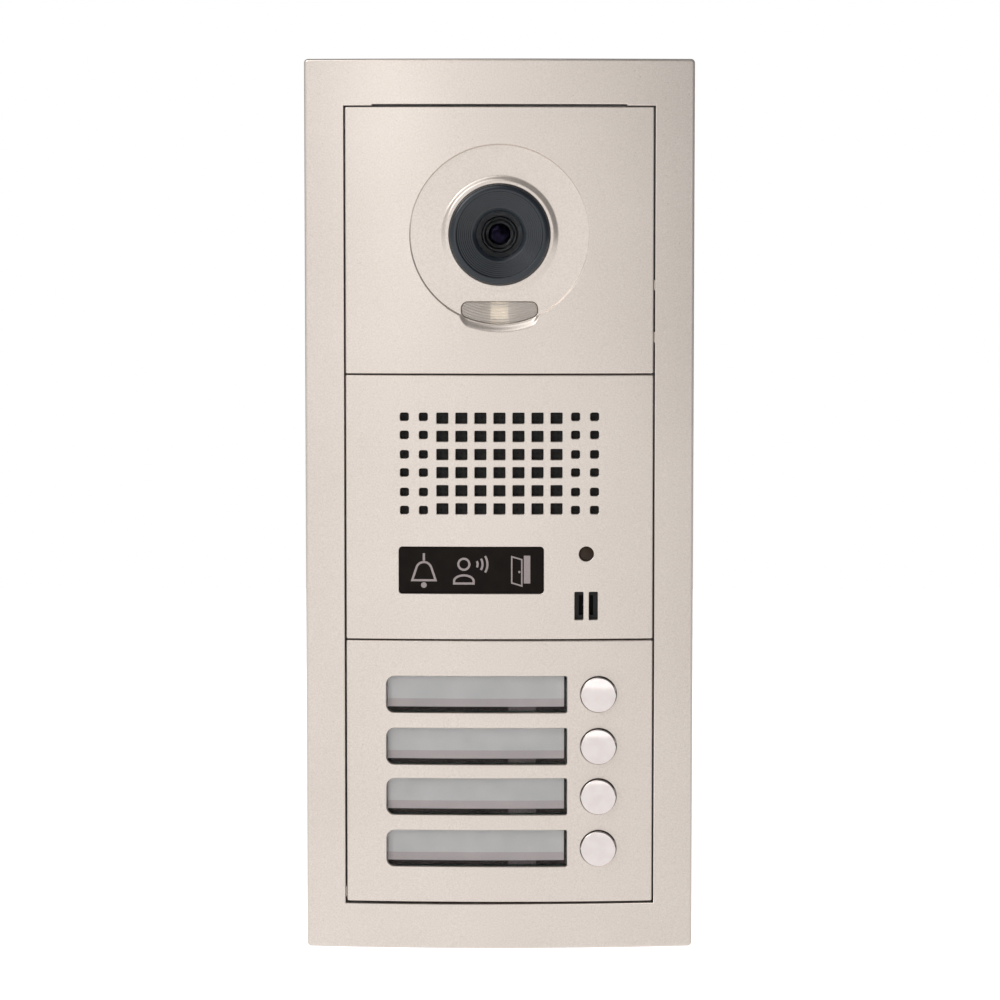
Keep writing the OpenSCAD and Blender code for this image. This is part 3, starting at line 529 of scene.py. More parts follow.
paint = champagne_paint()
print("paint:", paint.name, "flakes", FLAKE / MM, "mm")

# %% [markdown]
# ## Plastics of the casings
#
# Housings, back box, switches and terminals are injection moulded from polyamide, ABS or acetal in a
# spark-eroded tool, which leaves a fine dull grain. One function makes them all from two tones, the grain
# width and the gloss, because only those differ.

# %% Moulded plastics
def moulded(name, tone, light_tone, grain_width=0.4 * MM, rough=0.5, height=0.02 * MM, **inputs):
    material, shader = finish(name, IOR=1.53, **inputs)
    fine = grain(material, grain_width)
    clouds = grain(material, 12 * MM, detail=1)
    set_on(
        material, shader,
        colours=(clouds.outputs[0], [(0.3, tone), (0.7, light_tone)]),
        rough=(fine.outputs[0], rough - 0.07, rough + 0.07),
        bump=(fine.outputs[0], height, 0.5),
    )
    return material


polyamide_grey = moulded("grey_polyamide", "#66696c", "#74777a", 0.6 * MM, 0.55, 0.04 * MM)
abs_housing = moulded("anthracite_abs", "#333537", "#3e4042")
abs_bezel = moulded("black_abs", "#181e25", "#20262e", 0.5 * MM, 0.24, 0.001 * MM)
acetal_dark = moulded("dark_acetal", "#2a2c2e", "#36383b", rough=0.4)
barrel_black = moulded("black_anodised_barrel", "#050506", "#0a0a0b", rough=0.45, height=0.005 * MM)
switch_plastic = moulded("black_switch_nylon", "#202224", "#2b2d30")
guide_plastic = moulded("natural_acetal", "#d6d6d1", "#e4e4df", rough=0.35)
terminal_green = moulded("green_terminal_nylon", "#2a6345", "#357551", rough=0.42)
trimmer_blue = moulded("blue_trimmer_nylon", "#26548c", "#3266a3", rough=0.4)
rotor_white = moulded("white_rotor_acetal", "#e6e6e0", "#f2f2ec", rough=0.35)
ribbon_grey = moulded("grey_ribbon_vinyl", "#83868a", "#96999d", 1.27 * MM, 0.45, 0.1 * MM)
rubber = moulded("black_epdm_rubber", "#161616", "#202020", 0.3 * MM, 0.7, 0.02 * MM)
foam = moulded("charcoal_cell_foam", "#232323", "#343434", 0.5 * MM, 0.9, 0.2 * MM)
cone_paper = moulded("pressed_cone_paper", "#33312f", "#454240", 0.8 * MM, 0.85, 0.08 * MM)
lamp_white = moulded("white_led_epoxy", "#ecebe4", "#f7f6f0", rough=0.3, height=0.003 * MM)
lamp_lit = moulded(
    "glowing_led_phosphor", "#f1ecd2", "#f8f4de", rough=0.4, height=0.003 * MM,
    Emission_Color=linear("#fff5e2"), Emission_Strength=1.15,
)
card_white = moulded("white_solder_resist", "#dcdbd5", "#e8e7e1", rough=0.3, height=0.004 * MM)
print("black bezel plastic:", abs_bezel.name, "and the lit lamp:", lamp_lit.name)

# %% [markdown]
# ## Metals
#
# Zinc die casting is matt and slightly cloudy, zinc-plated steel is brighter, and sheet steel shows the lines
# of rolling. A metal's colour is the colour of its reflection, so the shader is fully metallic and keeps
# the default IOR. The rolling lines are noise stretched along one axis.

# %% Metals
def metal(name, tone, light_tone, rough=0.35, grain_width=0.5 * MM, stretch=(1, 1, 1), height=0.006 * MM):
    material, shader = finish(name, Metallic=1.0)
    fine = grain(material, grain_width, stretch=stretch)
    set_on(
        material, shader,
        colours=(fine.outputs[0], [(0.3, tone), (0.7, light_tone)]),
        rough=(fine.outputs[0], rough - 0.08, rough + 0.08),
        bump=(fine.outputs[0], height, 0.5),
    )
    return material


zinc_casting = metal("zinc_die_casting", "#8f9396", "#b3b6b8", 0.5, 1.5 * MM, height=0.03 * MM)
zinc_plate = metal("zinc_plated_steel", "#b9bcbf", "#d4d6d8", 0.28)
sheet_steel = metal("rolled_sheet_steel", "#97999b", "#b5b7b8", 0.36, 0.3 * MM, (1, 1, 12))
basket_steel = metal("lacquered_basket_steel", "#4a4c4f", "#5c5f62", 0.42)
nickel_plate = metal("nickel_plating", "#a9a6a0", "#c2bfb9", 0.25)
spring_wire = metal("drawn_spring_wire", "#a4a7aa", "#c3c6c9", 0.25, 0.2 * MM)


def capsule_can():
    """A drawn aluminium can whose front is covered by a disc of black felt."""
    material, shader = finish("aluminium_can_with_felt")
    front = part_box("mic_capsule")[0].y
    place = add(material, "TexCoord").outputs["Object"]
    depth = add(material, "SeparateXYZ", {0: place}).outputs["Y"]
    felt_ends = {"From Min": front + 0.1 * MM, "From Max": front + 0.12 * MM}
    bare = add(material, "MapRange", {"Value": depth, **felt_ends})
    fibres = grain(material, 0.3 * MM)
    tone = add(material, "Math", {0: fibres.outputs[0], 1: 0.1, 2: bare.outputs[0]}, operation="MULTIPLY_ADD")
    set_on(
        material, shader,
        colours=(tone.outputs[0], [(0.1, "#0a0a0a"), (1.0, "#c2c4c6")]),
        rough=(bare.outputs[0], 0.95, 0.32),
    )
    material.node_tree.links.new(bare.outputs[0], shader.inputs["Metallic"])
    return material


can_aluminium = capsule_can()
print("metals from", zinc_casting.name, "to", can_aluminium.name)

# %% [markdown]
# ## Chrome plating on the call buttons
#
# The caps are ABS with a polished chrome skin: a mirror that takes its look from what stands in front of it.
# A touch of roughness and a faint uneven polish keep it from looking like a perfect mirror.

# %% Chrome plating
def chrome_plating():
    material, shader = finish("chrome_plating", Metallic=1.0)
    polish = grain(material, 3 * MM, detail=1)
    set_on(
        material, shader,
        colours=(polish.outputs[0], [(0.3, "#e0d7d4"), (0.7, "#e8dfdc")]),
        rough=(polish.outputs[0], 0.04, 0.1),
    )
    return material


chrome = chrome_plating()
print("chrome:", chrome.name)

# %% [markdown]
# ## Glass and clear plastics
#
# The lens cover is hardened glass, the name windows are polished acrylic, the lamp window is polycarbonate
# with ribs that spread the light, and the sign window is smoked acrylic. Clear ones pass light, so they need
# real thickness and a real IOR; the smoked one is so dark that light doesn't come back from inside it.

# %% Glass and clear plastics
def clear(name, tone, light_tone, ior, rough, passing=1.0, glare="#ffffff"):
    """A clear finish. A dark glare tone stands for an anti-reflective coating."""
    material, shader = finish(name, IOR=ior, Transmission_Weight=passing, Specular_Tint=linear(glare))
    wipe = grain(material, 9 * MM, detail=1)
    set_on(
        material, shader,
        colours=(wipe.outputs[0], [(0.3, tone), (0.7, light_tone)]),
        rough=(wipe.outputs[0], rough, rough + 0.03),
    )
    return material


def smoked(name, tone, light_tone, rough, specular):
    material, shader = finish(name, IOR=1.49, Specular_IOR_Level=specular)
    haze = grain(material, 4 * MM)
    set_on(
        material, shader,
        colours=(haze.outputs[0], [(0.3, tone), (0.7, light_tone)]),
        rough=(haze.outputs[0], rough, rough + 0.05),
    )
    return material


cover_glass = clear("hardened_cover_glass", "#fbfdff", "#ffffff", 1.52, 0.0, glare="#121216")
name_acrylic = clear("polished_acrylic", "#f6f8f8", "#fdfefe", 1.49, 0.02, glare="#4c4c4c")
guide_acrylic = clear("light_guide_acrylic", "#dfe6ea", "#f0f5f7", 1.49, 0.15)
lamp_polycarbonate = clear("ribbed_polycarbonate", "#ddd2c8", "#eae1d8", 1.585, 0.12, passing=0.55)
smoked_acrylic = smoked("smoked_acrylic", "#15100e", "#1b1613", 0.1, 0.06)
smoked_lens = smoked("smoked_lens_acrylic", "#2b221c", "#3d3129", 0.22, 0.12)
print("clear and smoked:", cover_glass.name, name_acrylic.name, smoked_acrylic.name)


def coated_glass():
    """A camera element: dark inside, with the violet and green reflection of its thin coating."""
    material, shader = finish(
        "coated_lens_glass", IOR=1.6, Specular_Tint=linear("#5a4f78"),
    )
    depths = grain(material, 1.2 * MM, detail=0)
    set_on(
        material, shader,
        colours=(depths.outputs[0], [(0.3, "#08080c"), (0.7, "#181424")]),
        rough=(depths.outputs[0], 0.02, 0.06),
    )
    return material


lens_glass = coated_glass()

# %% [markdown]
# ## Woven mesh, circuit boards and print
#
# The dust mesh is a plain weave: two crossed waves of threads. A circuit board is green resist over copper
# tracks, which show as slightly lighter lines. The signs are screen printed in a warm grey.

# %% Mesh, boards and print
THREAD_PITCH = 0.9 * MM
TRACK_PITCH = 1.8 * MM


def woven_mesh():
    """Real threads lie 0.1 mm apart; they are drawn nine times as wide, because those wouldn't show."""
    material, shader = finish("woven_polyester_mesh", Sheen_Weight=0.15)
    place = add(material, "TexCoord").outputs["Object"]
    waves = [
        add(material, "TexWave", {"Vector": place, "Scale": 1 / THREAD_PITCH / 6.283}, bands_direction=axis)
        for axis in ("X", "Z")
    ]
    weave = add(material, "Math", {0: waves[0].outputs[1], 1: waves[1].outputs[1]}, operation="MULTIPLY")
    set_on(
        material, shader,
        colours=(weave.outputs[0], [(0.1, "#050505"), (0.8, "#141313")]),
        rough=(weave.outputs[0], 0.7, 0.95),
        bump=(weave.outputs[0], 0.1 * MM, 0.8),
    )
    return material


def circuit_board():
    material, shader = finish("green_circuit_board", IOR=1.55, Coat_Weight=0.3)
    place = add(material, "TexCoord").outputs["Object"]
    turned = add(material, "Mapping", {"Vector": place, "Rotation": (math.radians(90), 0, 0)})
    tracks = add(
        material, "TexBrick",
        {"Vector": turned.outputs[0], "Scale": 1 / TRACK_PITCH, "Mortar Size": 0.05, "Brick Width": 6.0},
    )
    set_on(
        material, shader,
        colours=(tracks.outputs["Fac"], [(0.0, "#17492f"), (1.0, "#2c7a50")]),
        rough=(tracks.outputs["Fac"], 0.3, 0.38),
        bump=(tracks.outputs["Fac"], 0.04 * MM, 0.6),
    )
    return material


def sign_print():
    material, shader = finish("warm_grey_screen_print")
    ink = grain(material, 0.3 * MM)
    set_on(
        material, shader,
        colours=(ink.outputs[0], [(0.3, "#978b8a"), (0.7, "#a59998")]),
        rough=(ink.outputs[0], 0.45, 0.6),
    )
    return material


mesh_fabric, board_green, print_grey = woven_mesh(), circuit_board(), sign_print()
print("threads every", THREAD_PITCH / MM, "mm, tracks every", TRACK_PITCH / MM, "mm")

# %% [markdown]
# ## The front frame
#
# The frame is one casting: a bulged bar all round, outer walls that reach back to the wall's gasket, and a
# lip around the opening that the modules sit in. A row of points every few millimetres lets it follow the
# bulge. The opening has a shallow slot in the middle of its upper edge, where a tool releases the modules,
# and three small ribs that centre them. Two hooks behind the upper bar hang the frame on its carrier.

# %% Front frame
OPENING_W = PANEL_W - 2 * SIDE_BAR
OPENING_TOP = frame_high.z - TOP_BAR
OPENING_BOTTOM = frame_low.z + BOTTOM_BAR
SLOT_W, SLOT_H = 88 * MM, 0.45 * MM
LIP_FOOT = -6 * MM
HOOK_XS, HOOK_Z = (-28 * MM, 28 * MM), frame_high.z - 6 * MM
HOOK_W, HOOK_H, HOOK_FRONT, HOOK_BACK = 12 * MM, 7 * MM, -3 * MM, -1.8 * MM
frame_outline = divided(round_rect((0, 0), (PANEL_W, PANEL_H), [1.4 * MM] * 4))


def opening_corners():
    right, slot = OPENING_W / 2, SLOT_W / 2
    return [
        (-right, OPENING_BOTTOM), (right, OPENING_BOTTOM), (right, OPENING_TOP), (slot, OPENING_TOP),
        (slot, OPENING_TOP + SLOT_H), (-slot, OPENING_TOP + SLOT_H), (-slot, OPENING_TOP),
        (-right, OPENING_TOP),
    ]


def add_block(surface, low, high, finish=0):
    """A plain rib with flat sides, set into another surface."""
    corners = [(x, y, z) for x in (low[0], high[0]) for y in (low[1], high[1]) for z in (low[2], high[2])]
    numbers = surface.ring(corners)
    sides = [
        ((0, 1, 3, 2), (-1, 0, 0)), ((4, 6, 7, 5), (1, 0, 0)), ((0, 4, 5, 1), (0, -1, 0)),
        ((2, 3, 7, 6), (0, 1, 0)), ((0, 2, 6, 4), (0, 0, -1)), ((1, 5, 7, 3), (0, 0, 1)),
    ]
    for side, normal in sides:
        surface.face(numbers[list(side)], [normal] * 4, finish)


def front_frame_piece():
    surface = Surface()
    edges = [
        edge(frame_outline, 0.9 * MM, foot=frame_high.y, wall=3 * MM),
        edge(divided(cornered(opening_corners())), 0.3 * MM, foot=LIP_FOOT, wall=1.6 * MM),
    ]
    add_plate(surface, edges, crowned, FRAME_SKIN, grid((0, 0), (PANEL_W, PANEL_H), 4.5 * MM))
    rib_places = [(1, CAMERA_Z - 15.5 * MM), (1, CAMERA_Z - 33.5 * MM), (-1, CALL_Z - 43 * MM)]
    for side, z in rib_places:
        x = sorted((side * (OPENING_W / 2 - 0.35 * MM), side * (OPENING_W / 2 + 0.2 * MM)))
        add_block(surface, (x[0], FRONT + 5 * MM, z - 1.8 * MM), (x[1], LIP_FOOT, z + 1.8 * MM))
    for x in HOOK_XS:
        low = (x - HOOK_W / 2, HOOK_FRONT, HOOK_Z - HOOK_H / 2)
        add_block(surface, low, (x + HOOK_W / 2, HOOK_BACK, HOOK_Z + HOOK_H / 2))
    return build("frame_casting", surface, [paint], replaces=["front_frame"], slot="champagne_paint")


front_frame_piece()

# %% [markdown]
# ## What the three module faces share
#
# Each face is a bulged skin with thin side walls and four screw posts behind it. Its openings differ, so the
# shared part takes them as a list of edges. The posts are turned tubes that start inside the skin.

# %% A module face
POST_FOOT = -6 * MM
HOUSING_LOW, HOUSING_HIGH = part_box("audio_housing")
POST_X = HOUSING_HIGH.x - 5.5 * MM
POST_Z = (HOUSING_HIGH.z - HOUSING_LOW.z) / 2 - 5.5 * MM
POST_R, POST_HOLE_R, POST_HOLE_DEPTH = 3.2 * MM, 1.55 * MM, 7 * MM
WALL_FOOT = -5.5 * MM
WALL_FOOT_WALL = 2 * MM


def module_face(
    name, middle_z, holes, replaces, depth=crowned, free=None, rear=None, more=None, finishes=(paint,),
):
    surface = Surface()
    outline = divided(round_rect((0, middle_z), (FACE_W, FACE_H), [0.6 * MM] * 4, steps=5))
    edges = [edge(outline, 0.4 * MM, foot=WALL_FOOT, wall=WALL_FOOT_WALL)] + holes
    calm = grid((0, middle_z), (FACE_W, FACE_H), 3.5 * MM)
    add_plate(surface, edges, depth, FACE_SKIN, calm if free is None else np.vstack([calm, free]), rear=rear)
    start = float(crowned(POST_X + POST_R, 0)) + FACE_SKIN - 1.2 * MM
    for x in (-POST_X, POST_X):
        for z in (middle_z - POST_Z, middle_z + POST_Z):
            add_turned(surface, [
                (0, start), (POST_R, start), (POST_R, POST_FOOT), (POST_HOLE_R, POST_FOOT),
                (POST_HOLE_R, POST_FOOT - POST_HOLE_DEPTH), (0, POST_FOOT - POST_HOLE_DEPTH),
            ], (x, z), steps=32)
    if more:
        more(surface)
    return build(name, surface, finishes, replaces=replaces, slot="champagne_paint")


print("posts at", round(POST_X / MM, 2), round(POST_Z / MM, 2), "mm from each face's middle")

# %% [markdown]
# ## The audio face
#
# Sixty-six square holes let the sound out. The two outer columns on each side are smaller and keep to the
# outside of their rows, which makes the pattern look round. The hole edges are broken by a fifth of a
# millimetre, enough to catch a line of light.

# %% Audio face
COLUMNS, ROWS = 11, 6
PITCH_X, PITCH_Z = 6.6 * MM, 6.3 * MM
HOLE_W, HOLE_H = 4.1 * MM, 3.85 * MM
SMALL_W, SMALL_H = 3.05 * MM, 2.9 * MM
SPEAKER_Z = sum(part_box("speaker_frame")[i].z for i in (0, 1)) / 2
STATUS_LOW, STATUS_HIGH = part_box("status_window")
STATUS_X, STATUS_Z = (STATUS_LOW.x + STATUS_HIGH.x) / 2, (STATUS_LOW.z + STATUS_HIGH.z) / 2
STATUS_W, STATUS_H = 50.4 * MM, 16.4 * MM
IN_USE_LOW, IN_USE_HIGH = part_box("in_use_lens")
IN_USE_X, IN_USE_Z = (IN_USE_LOW.x + IN_USE_HIGH.x) / 2, (IN_USE_LOW.z + IN_USE_HIGH.z) / 2
IN_USE_R = 2.6 * MM
MIC_LOW, MIC_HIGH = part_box("mic_boot")
MIC_X, MIC_Z = (MIC_LOW.x + MIC_HIGH.x) / 2, (MIC_LOW.z + MIC_HIGH.z) / 2
MIC_SLOT_W, MIC_SLOT_H, MIC_PITCH = 3.1 * MM, 9.8 * MM, 5 * MM


def grille_holes():
    middle_column, middle_row = (COLUMNS - 1) / 2, (ROWS - 1) / 2
    for column in range(COLUMNS):
        for row in range(ROWS):
            small = abs(column - middle_column) > middle_column - 2
            width, height = (SMALL_W, SMALL_H) if small else (HOLE_W, HOLE_H)
            up = middle_row - row
            outer = np.sign(up) if small and abs(up) > 1 else 0
            moved = outer * (HOLE_H - SMALL_H) / 2
            place = ((column - middle_column) * PITCH_X, SPEAKER_Z + up * PITCH_Z + moved)
            radius = 0.7 * MM if small else 0.3 * MM
            yield edge(round_rect(place, (width, height), [radius] * 4, steps=5), 0.2 * MM)


audio_holes = list(grille_holes())
status_opening = round_rect((STATUS_X, STATUS_Z), (STATUS_W, STATUS_H), [1.2 * MM] * 4)
audio_holes.append(edge(divided(status_opening), 0.25 * MM))
audio_holes.append(edge(disc((IN_USE_X, IN_USE_Z), IN_USE_R, 48), 0.2 * MM))
for side in (-1, 1):
    slot_place = (MIC_X + side * MIC_PITCH / 2, MIC_Z)
    audio_holes.append(edge(round_rect(slot_place, (MIC_SLOT_W, MIC_SLOT_H), [0.35 * MM] * 4), 0.2 * MM))
module_face("audio_skin", AUDIO_Z, audio_holes, ["audio_face"])
print("grille holes:", COLUMNS * ROWS)

# %% [markdown]
# ## The call face
#
# Four rows, each with a name window and a button. The window's opening is round on the left and nearly
# square beside the button. A black bushing lines each button hole, and the ring at its end stops the cap.

# %% Call face
BUTTONS = [f"call_button_{i}" for i in (1, 2, 3, 4)]
ROW_ZS = [(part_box(b)[0].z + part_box(b)[1].z) / 2 for b in BUTTONS]
BUTTON_X = (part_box(BUTTONS[0])[0].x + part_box(BUTTONS[0])[1].x) / 2
CAP_R, CAP_HOLE_R = 6.1 * MM, 6.4 * MM
CARD_LOW, CARD_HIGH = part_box("name_cards")
NAME_X = (CARD_LOW.x + CARD_HIGH.x) / 2
NAME_W, NAME_H = 63.1 * MM, 12.9 * MM
STOP_Y = FRONT + 4.6 * MM
NAME_RADII = [0.6 * MM, 3 * MM, 3 * MM, 0.6 * MM]


def name_outline(z, inset=0.0):
    size = (NAME_W - 2 * inset, NAME_H - 2 * inset)
    return round_rect((NAME_X, z), size, [max(r - inset, 0.3 * MM) for r in NAME_RADII], steps=9)


def stop_rings(surface):
    """A black bushing lines each button hole and ends in the ring that stops the cap."""
    front = float(crowned(BUTTON_X, 0)) + 0.4 * MM
    start = front + FACE_SKIN - 1 * MM
    inner, lining, outer = CAP_R + 0.14 * MM, CAP_HOLE_R - 0.02 * MM, CAP_HOLE_R + 2.2 * MM
    for z in ROW_ZS:
        profile = [(inner, front), (lining, front), (lining, start), (outer, start), (outer, STOP_Y),
                   (inner, STOP_Y), (inner, front)]
        add_turned(surface, profile, (BUTTON_X, z), steps=96, finish=1)


call_holes = [edge(divided(name_outline(z)), 0.3 * MM) for z in ROW_ZS]
call_holes += [edge(disc((BUTTON_X, z), CAP_HOLE_R), 0.12 * MM) for z in ROW_ZS]
module_face(
    "call_skin", CALL_Z, call_holes, ["call_face"], more=stop_rings, finishes=(paint, abs_housing),
)
print("rows at", [round(z / MM, 2) for z in ROW_ZS])


# %% [markdown]
# ## The camera face
#
# This face has relief: a round dish, a raised collar around the bezel, and a pocket that lets the lamp shine
# over the dish's lower edge. All three are one depth function, so the triangulated sheet and its normals
# come from the same numbers. Rings of points lie close together where the relief bends.

# %% Camera face
DISH_R, DISH_Y = 31 * MM, FRONT + 1.2 * MM
RIM_WIDTH = 0.5 * MM
COLLAR_FOOT_R, COLLAR_TOP_R, COLLAR_RISE = 20.4 * MM, 18.6 * MM, 1 * MM
BEZEL_R, BEZEL_HOLE_R = 17.4 * MM, 17.5 * MM
LAMP_W, LAMP_TOP, LAMP_END_R = 26.6 * MM, LENS_Z - 23.1 * MM, 2.4 * MM
POCKET_BELOW, POCKET_BESIDE = 2.8 * MM, 1.15 * MM


def soft_step(share):
    share = np.clip(share, 0, 1)
    return share * share * (3 - 2 * share)


def dish_share(x, z):
    return soft_step((DISH_R + RIM_WIDTH / 2 - np.hypot(x, z - LENS_Z)) / RIM_WIDTH)


def camera_relief(x, z):
    """Depth of the camera face: bulge, dish, lamp pocket and collar."""
    radius = np.hypot(x, z - LENS_Z)
    below = np.maximum(radius - DISH_R + LAMP_END_R, 1e-6)
    beside = np.maximum(np.abs(x) - LAMP_W / 2 + LAMP_END_R, 0)
    inner = LAMP_END_R / np.hypot(below, beside)
    outer = 1 / np.hypot(below / (LAMP_END_R + POCKET_BELOW), beside / (LAMP_END_R + POCKET_BESIDE))
    pocket = np.where(z < LENS_Z, 1 - np.clip((1 - inner) / (outer - inner), 0, 1), 0)
    collar = soft_step((COLLAR_FOOT_R - radius) / (COLLAR_FOOT_R - COLLAR_TOP_R))
    sunk = crowned(x, z) + np.maximum(dish_share(x, z), soft_step(1.1 * pocket)) * (DISH_Y - crowned(x, z))
    return sunk - COLLAR_RISE * collar


def camera_back(x, z):
    """The rear of the sheet follows the dish, but not the collar."""
    return FACE_SKIN + crowned(x, z) + dish_share(x, z) * (DISH_Y - crowned(x, z))


def lamp_outline(grow=0.0):
    """The lamp opening: level above, round at its ends, and on the dish's edge below."""
    inset = LAMP_W / 2 - LAMP_END_R
    high, radius = LAMP_TOP - LAMP_END_R, LAMP_END_R + grow
    drop = math.sqrt((DISH_R - LAMP_END_R) ** 2 - inset ** 2)
    lean = math.degrees(math.atan2(drop, inset))
    across = np.linspace(-inset, inset, 34)[-2:0:-1]
    return np.vstack([
        arc((inset, high), radius, 0, 90, 9),
        np.column_stack([across, np.full(len(across), LAMP_TOP + grow)]),
        arc((-inset, high), radius, 90, 180, 9),
        arc((-inset, LENS_Z - drop), radius, 180, 180 + lean, 9),
        arc((0, LENS_Z), DISH_R + grow, 180 + lean, 360 - lean, 48)[1:-1],
        arc((inset, LENS_Z - drop), radius, 360 - lean, 360, 9),
    ])


def relief_points():
    near_bezel = np.arange(17.9, 21.3, 0.3)
    near_rim = DISH_R / MM + np.linspace(-0.6, 0.7, 14)
    radii = np.concatenate([near_bezel, np.arange(22.5, 30, 1.6), near_rim, [32.4, 33.2, 34.2]])
    rings = [disc((0, LENS_Z), r * MM, 240)() for r in radii]
    pocket = grid((0, LENS_Z - 29.5 * MM), (36 * MM, 12 * MM), 0.3 * MM)
    return np.vstack(rings + [pocket])


camera_holes = [edge(disc((0, LENS_Z), BEZEL_HOLE_R, 160), 0.25 * MM), edge(lamp_outline, 0.2 * MM)]
module_face(
    "camera_skin", CAMERA_Z, camera_holes, ["camera_face"], camera_relief, relief_points(), camera_back,
)

# %% [markdown]
# ## The lens bezel
#
# A black ring with a soft outer shoulder and a funnel of fine steps, which keeps stray light out of the lens.
# Its steps are what one sees: each has a tiny radius that catches a thin line of light.

# %% Lens bezel
BEZEL_LOW, BEZEL_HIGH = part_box("lens_bezel")
BEZEL_FRONT, BEZEL_BACK = BEZEL_LOW.y, BEZEL_HIGH.y
SEAT_Y = FRONT + 3.7 * MM
FUNNEL_R, FUNNEL_Y = BEZEL_R - 2.6 * MM, BEZEL_FRONT + 1 * MM
VIEW_R, VIEW_Y = 8 * MM, SEAT_Y + 0.5 * MM
COVER_LOW, COVER_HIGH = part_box("lens_cover")
COVER_R = COVER_HIGH.x
SEAL_Y = COVER_LOW.y - 0.5 * MM
FUNNEL_STEPS = 8
STEPPED_SHARE = 0.8


def funnel_point(share):
    """A place on the funnel's slope: 0 at its mouth, 1 at the clear view."""
    return FUNNEL_R + (VIEW_R - FUNNEL_R) * share, FUNNEL_Y + (VIEW_Y - FUNNEL_Y) * share


def bezel_profile():
    funnel = [(VIEW_R, SEAL_Y), (VIEW_R, VIEW_Y + 0.1 * MM, 0.25 * MM)]
    for i in range(FUNNEL_STEPS, 0, -1):
        inner = funnel_point(STEPPED_SHARE * i / FUNNEL_STEPS)
        outer = funnel_point(STEPPED_SHARE * (i - 1) / FUNNEL_STEPS)
        funnel += [(*inner, 0.14 * MM), (outer[0], inner[1], 0.1 * MM)]
    return eased(funnel + [
        (FUNNEL_R, BEZEL_FRONT, 0.5 * MM),
        (BEZEL_R, BEZEL_FRONT, 1.9 * MM),
        (BEZEL_R, SEAT_Y),
        (BEZEL_HIGH.x, SEAT_Y),
        (BEZEL_HIGH.x, SEAT_Y + 1.5 * MM),
        (COVER_R + 2 * MM, SEAT_Y + 1.5 * MM),
        (COVER_R + 2 * MM, BEZEL_BACK),
        (COVER_R + 0.1 * MM, BEZEL_BACK),
        (COVER_R + 0.1 * MM, SEAL_Y),
        (VIEW_R, SEAL_Y),
    ], steps=5)


def turned_piece(name, profile, centre, material, **rest):
    surface = Surface()
    add_turned(surface, profile, centre)
    return build(name, surface, [material], **rest)


lens_centre = (0, LENS_Z)
turned_piece(
    "stepped_bezel", bezel_profile(), lens_centre, abs_bezel,
    replaces=["lens_bezel"], slot="bezel_plastic",
)

# %% [markdown]
# ## Cover glass, barrel and front lens
#
# Behind the funnel sits a slightly domed cover glass, and behind it the barrel of the camera with its own
# small lens. The dome is what makes a soft light show as one small spot. Barrel and lens ride on the
# tilting cradle, so they turn with it when the camera is aimed.

# %% Lens pieces
def dome(radius, rim_y, rise, steps=14):
    """Points from the middle of a shallow dome out to its rim."""
    ball = (radius ** 2 + rise ** 2) / (2 * rise)
    span = math.asin(radius / ball)
    turns = np.linspace(0, span, steps)
    return [(ball * math.sin(t), rim_y - rise + ball * (1 - math.cos(t))) for t in turns]


cover_profile = dome(COVER_R, COVER_LOW.y + 0.9 * MM, 0.85 * MM)
cover_profile += [(COVER_R, COVER_HIGH.y), (0, COVER_HIGH.y)]
turned_piece(
    "cover_glass", cover_profile, lens_centre, cover_glass,
    replaces=["lens_cover"], slot="cover_glass",
)

BARREL_R, BARREL_FRONT, BARREL_BACK = BARREL_BOX[1].x, BARREL_BOX[0].y, BARREL_BOX[1].y
LENS_SEAT_R, IRIS_R = 3.7 * MM, 1.5 * MM
barrel_profile = eased([
    (IRIS_R, BARREL_FRONT + 3 * MM),
    (LENS_SEAT_R, BARREL_FRONT + 3 * MM),
    (LENS_SEAT_R, BARREL_FRONT + 1 * MM),
    (LENS_SEAT_R + 0.5 * MM, BARREL_FRONT + 0.7 * MM),
    (LENS_SEAT_R + 0.8 * MM, BARREL_FRONT + 0.7 * MM),
    (BARREL_R - 0.8 * MM, BARREL_FRONT, 0.15 * MM),
    (BARREL_R, BARREL_FRONT, 0.4 * MM),
    (BARREL_R, BARREL_BACK, 0.3 * MM),
    (IRIS_R, BARREL_BACK),
    (IRIS_R, BARREL_FRONT + 3 * MM),
])
turned_piece(
    "camera_barrel", barrel_profile, lens_centre, barrel_black,
    body="camera_cradle", replaces=["lens_barrel"], slot="barrel_black",
)
ELEMENT_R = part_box("front_lens")[1].x
ELEMENT_FRONT, ELEMENT_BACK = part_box("front_lens")[0].y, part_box("front_lens")[1].y
element_profile = dome(ELEMENT_R, ELEMENT_FRONT + 1.1 * MM, 1.1 * MM)
element_profile += [(ELEMENT_R, ELEMENT_BACK), (0, ELEMENT_BACK)]
turned_piece(
    "camera_element", element_profile, lens_centre, lens_glass,
    body="camera_cradle", replaces=["front_lens"], slot="lens_glass",
)

# %% [markdown]
# ## The ribbed lamp window
#
# Ribs concentric with the lens spread the lamp's light sideways. They are real relief here: a bump pattern
# shades ribs well enough, but only relief bends the light of the lamp behind.

# %% Lamp window
RIB_PITCH, RIB_HEIGHT = 0.95 * MM, 0.1 * MM
LAMP_FRONT = DISH_Y + 0.3 * MM
LAMP_THICK = 1.9 * MM


def lamp_face(x, z):
    turns = (np.hypot(x, z - LENS_Z) - 23 * MM) / RIB_PITCH
    return LAMP_FRONT + RIB_HEIGHT * (0.5 - 0.5 * np.cos(2 * np.pi * turns))


def lamp_rear(x, z):
    return LAMP_FRONT + LAMP_THICK + 0 * x


def rib_points():
    radii = np.arange(22, 32, RIB_PITCH / MM / 8) * MM
    return np.vstack([arc((0, LENS_Z), r, 240, 300, 70) for r in radii])


